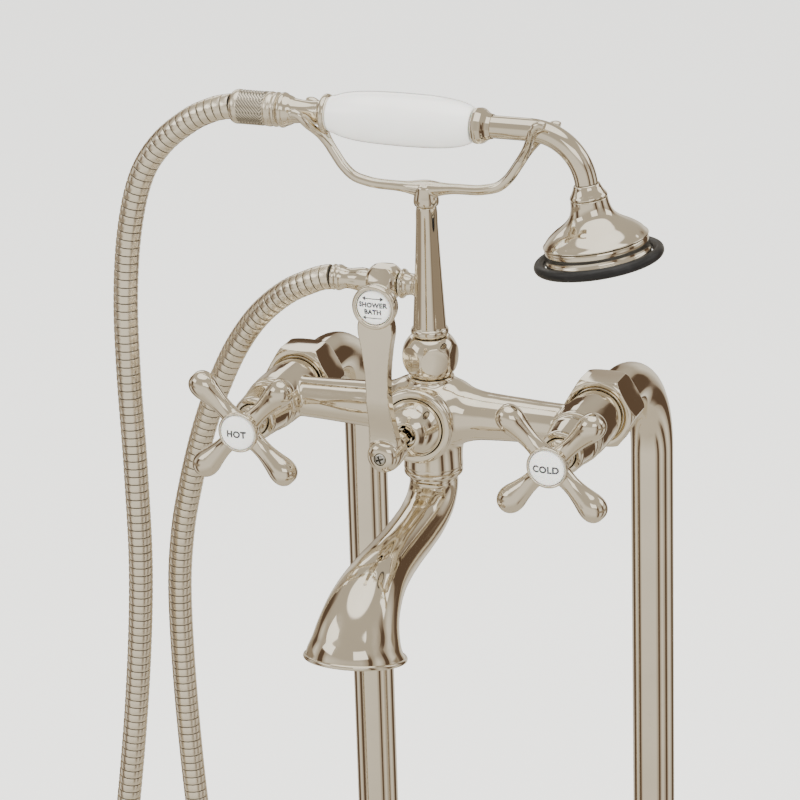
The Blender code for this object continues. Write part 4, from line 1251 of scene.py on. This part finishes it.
class FAUCET_OT_spray_head(bpy.types.Operator):
    """Model the spray head: collar, bell, rim, face and rubber bumper"""

    bl_idname = "faucet.spray_head"
    bl_label = "Spray head"

    def execute(self, context):
        end = ELBOW_END
        lean = (0, math.radians(-SPRAY_LEAN), 0)
        body = "handset"
        collar = lathe([(5.0, -0.3), (6.7, -0.3), (7.1, -0.8), (7.6, -2.2), (8.9, -4.8), (10.0, -6.6),
                        (10.25, -7.3), (10.0, -7.8), (5.0, -7.8)], lean, end)
        nickel(collar, "collar", body, "bell_collar")
        bell = lathe([(5.0, -8.1), (9.6, -8.1), (10.1, -8.6), (10.2, -10.6), (10.7, -13.4), (11.9, -16.6),
                      (14.2, -19.4), (17.8, -22.1), (22.0, -24.7), (25.8, -27.8), (27.8, -30.2),
                      (28.6, -31.0), (28.5, -31.5), (26.4, -31.5), (25.0, -29.6), (20.8, -26.2),
                      (16.0, -23.4), (12.0, -20.6), (9.6, -17), (8.8, -12), (5.0, -11)], lean, end, detail=7)
        nickel(bell, "bell", body, "spray_bell")
        rim = lathe([(26.4, -31.9), (27.6, -31.9), (27.9, -32.4), (27.9, -38.6), (28.5, -39.4), (28.5, -41.6),
                     (26.4, -41.6)], lean, end)
        nickel(rim, "rim_band", body, "bell_rim")
        face = lathe([(0, -38.6), (26.0, -38.6), (26.0, -41.4), (25.0, -42.2), (20, -42.6), (0, -43.0)],
                     lean, end)
        nickel(face, "face_plate", body, "spray_face")
        middle, thick, drop = 32.2, 3.0, -41.6
        ring = [(middle + thick * math.cos(a), drop + thick * math.sin(a))
                for a in (math.pi / 2 - 2 * math.pi * n / 20 for n in range(20))]
        bumper = lathe(ring, lean, end, round_edges=False)
        finished(bumper, "rubber_bumper", "rubber", "black_rubber", body, "bumper_ring")
        self.holes(lean, end, body)
        return {"FINISHED"}

    def holes(self, lean, end, body):
        """Dark discs for the spray holes, painted shade of the holes, in rings on the face, which falls away
        from its middle.
        """
        front, fall = -43.15, 0.02
        deselect()
        bpy.ops.mesh.primitive_circle_add(vertices=10, radius=0.55 * MM, fill_type="NGON")
        hole = bpy.context.object
        edit(hole)
        bpy.ops.mesh.extrude_region_move(TRANSFORM_OT_translate={"value": (0, 0, 0.3 * MM)})
        clean()
        copies = []
        for ring, radius in ((1, 0.0), (6, 5.0), (12, 10.0), (18, 15.0), (24, 20.0)):
            for number in range(ring):
                angle = 2 * math.pi * number / ring
                copy = duplicate(hole)
                copy.location = (radius * math.cos(angle) * MM, radius * math.sin(angle) * MM,
                                 (front + fall * radius) * MM)
                copies.append(copy)
        bpy.data.objects.remove(hole, do_unlink=True)
        whole = gather(copies[0], *copies[1:])
        pick(whole)
        bpy.ops.object.transform_apply(location=True, rotation=True, scale=True)
        place(whole, lean, end)
        # painted shade: black rubber discs stand in for the dark of the holes
        finished(whole, "spray_holes_painted_shade", "rubber", "black_rubber", body)


# ------------------------------------------------------------------ hidden pieces
class FAUCET_OT_hidden(bpy.types.Operator):
    """Give the inner pieces that keep their CAD shape a worked finish"""

    bl_idname = "faucet.hidden"
    bl_label = "Inner pieces"

    def execute(self, context):
        looks = {"plain_brass": "brass", "black_rubber": "rubber", "stainless_screw": "steel",
                 "polished_nickel": "nickel", "white_porcelain": "porcelain", "stainless_hose": "hose"}
        for part in frame["record"]["subparts"]:
            node = frame["nodes"][part["node"]]
            for slot in node.material_slots:
                slot.material = LOOKS[looks[part["material_slot"]]]
        return {"FINISHED"}


class FAUCET_PT_panel(bpy.types.Panel):
    """Lists the pieces and their settings"""

    bl_idname = "FAUCET_PT_panel"
    bl_label = "Faucet"
    bl_space_type = "VIEW_3D"
    bl_region_type = "UI"
    bl_category = "Faucet"

    def draw(self, context):
        for group in (context.scene.faucet_sizes, context.scene.faucet_colours):
            for name in group.__annotations__:
                self.layout.prop(group, name)
        for operator in OPERATORS:
            self.layout.operator(operator.bl_idname)


OPERATORS = (
    FAUCET_OT_stage, FAUCET_OT_hose, FAUCET_OT_body, FAUCET_OT_supply, FAUCET_OT_valves,
    FAUCET_OT_handles, FAUCET_OT_diverter, FAUCET_OT_lever, FAUCET_OT_spout, FAUCET_OT_column,
    FAUCET_OT_cradle, FAUCET_OT_handset, FAUCET_OT_spray_head, FAUCET_OT_hidden,
)
CLASSES = (FaucetSizes, FaucetColours, FAUCET_PT_panel) + OPERATORS


def register():
    for item in CLASSES:
        bpy.utils.register_class(item)
    bpy.types.Scene.faucet_sizes = bpy.props.PointerProperty(type=FaucetSizes)
    bpy.types.Scene.faucet_colours = bpy.props.PointerProperty(type=FaucetColours)


def unregister():
    del bpy.types.Scene.faucet_colours
    del bpy.types.Scene.faucet_sizes
    for item in reversed(CLASSES):
        bpy.utils.unregister_class(item)


def main():
    register()
    make_looks()
    for operator in OPERATORS:
        group, name = operator.bl_idname.split(".")
        getattr(getattr(bpy.ops, group), name)()


if __name__ == "__main__":
    main()
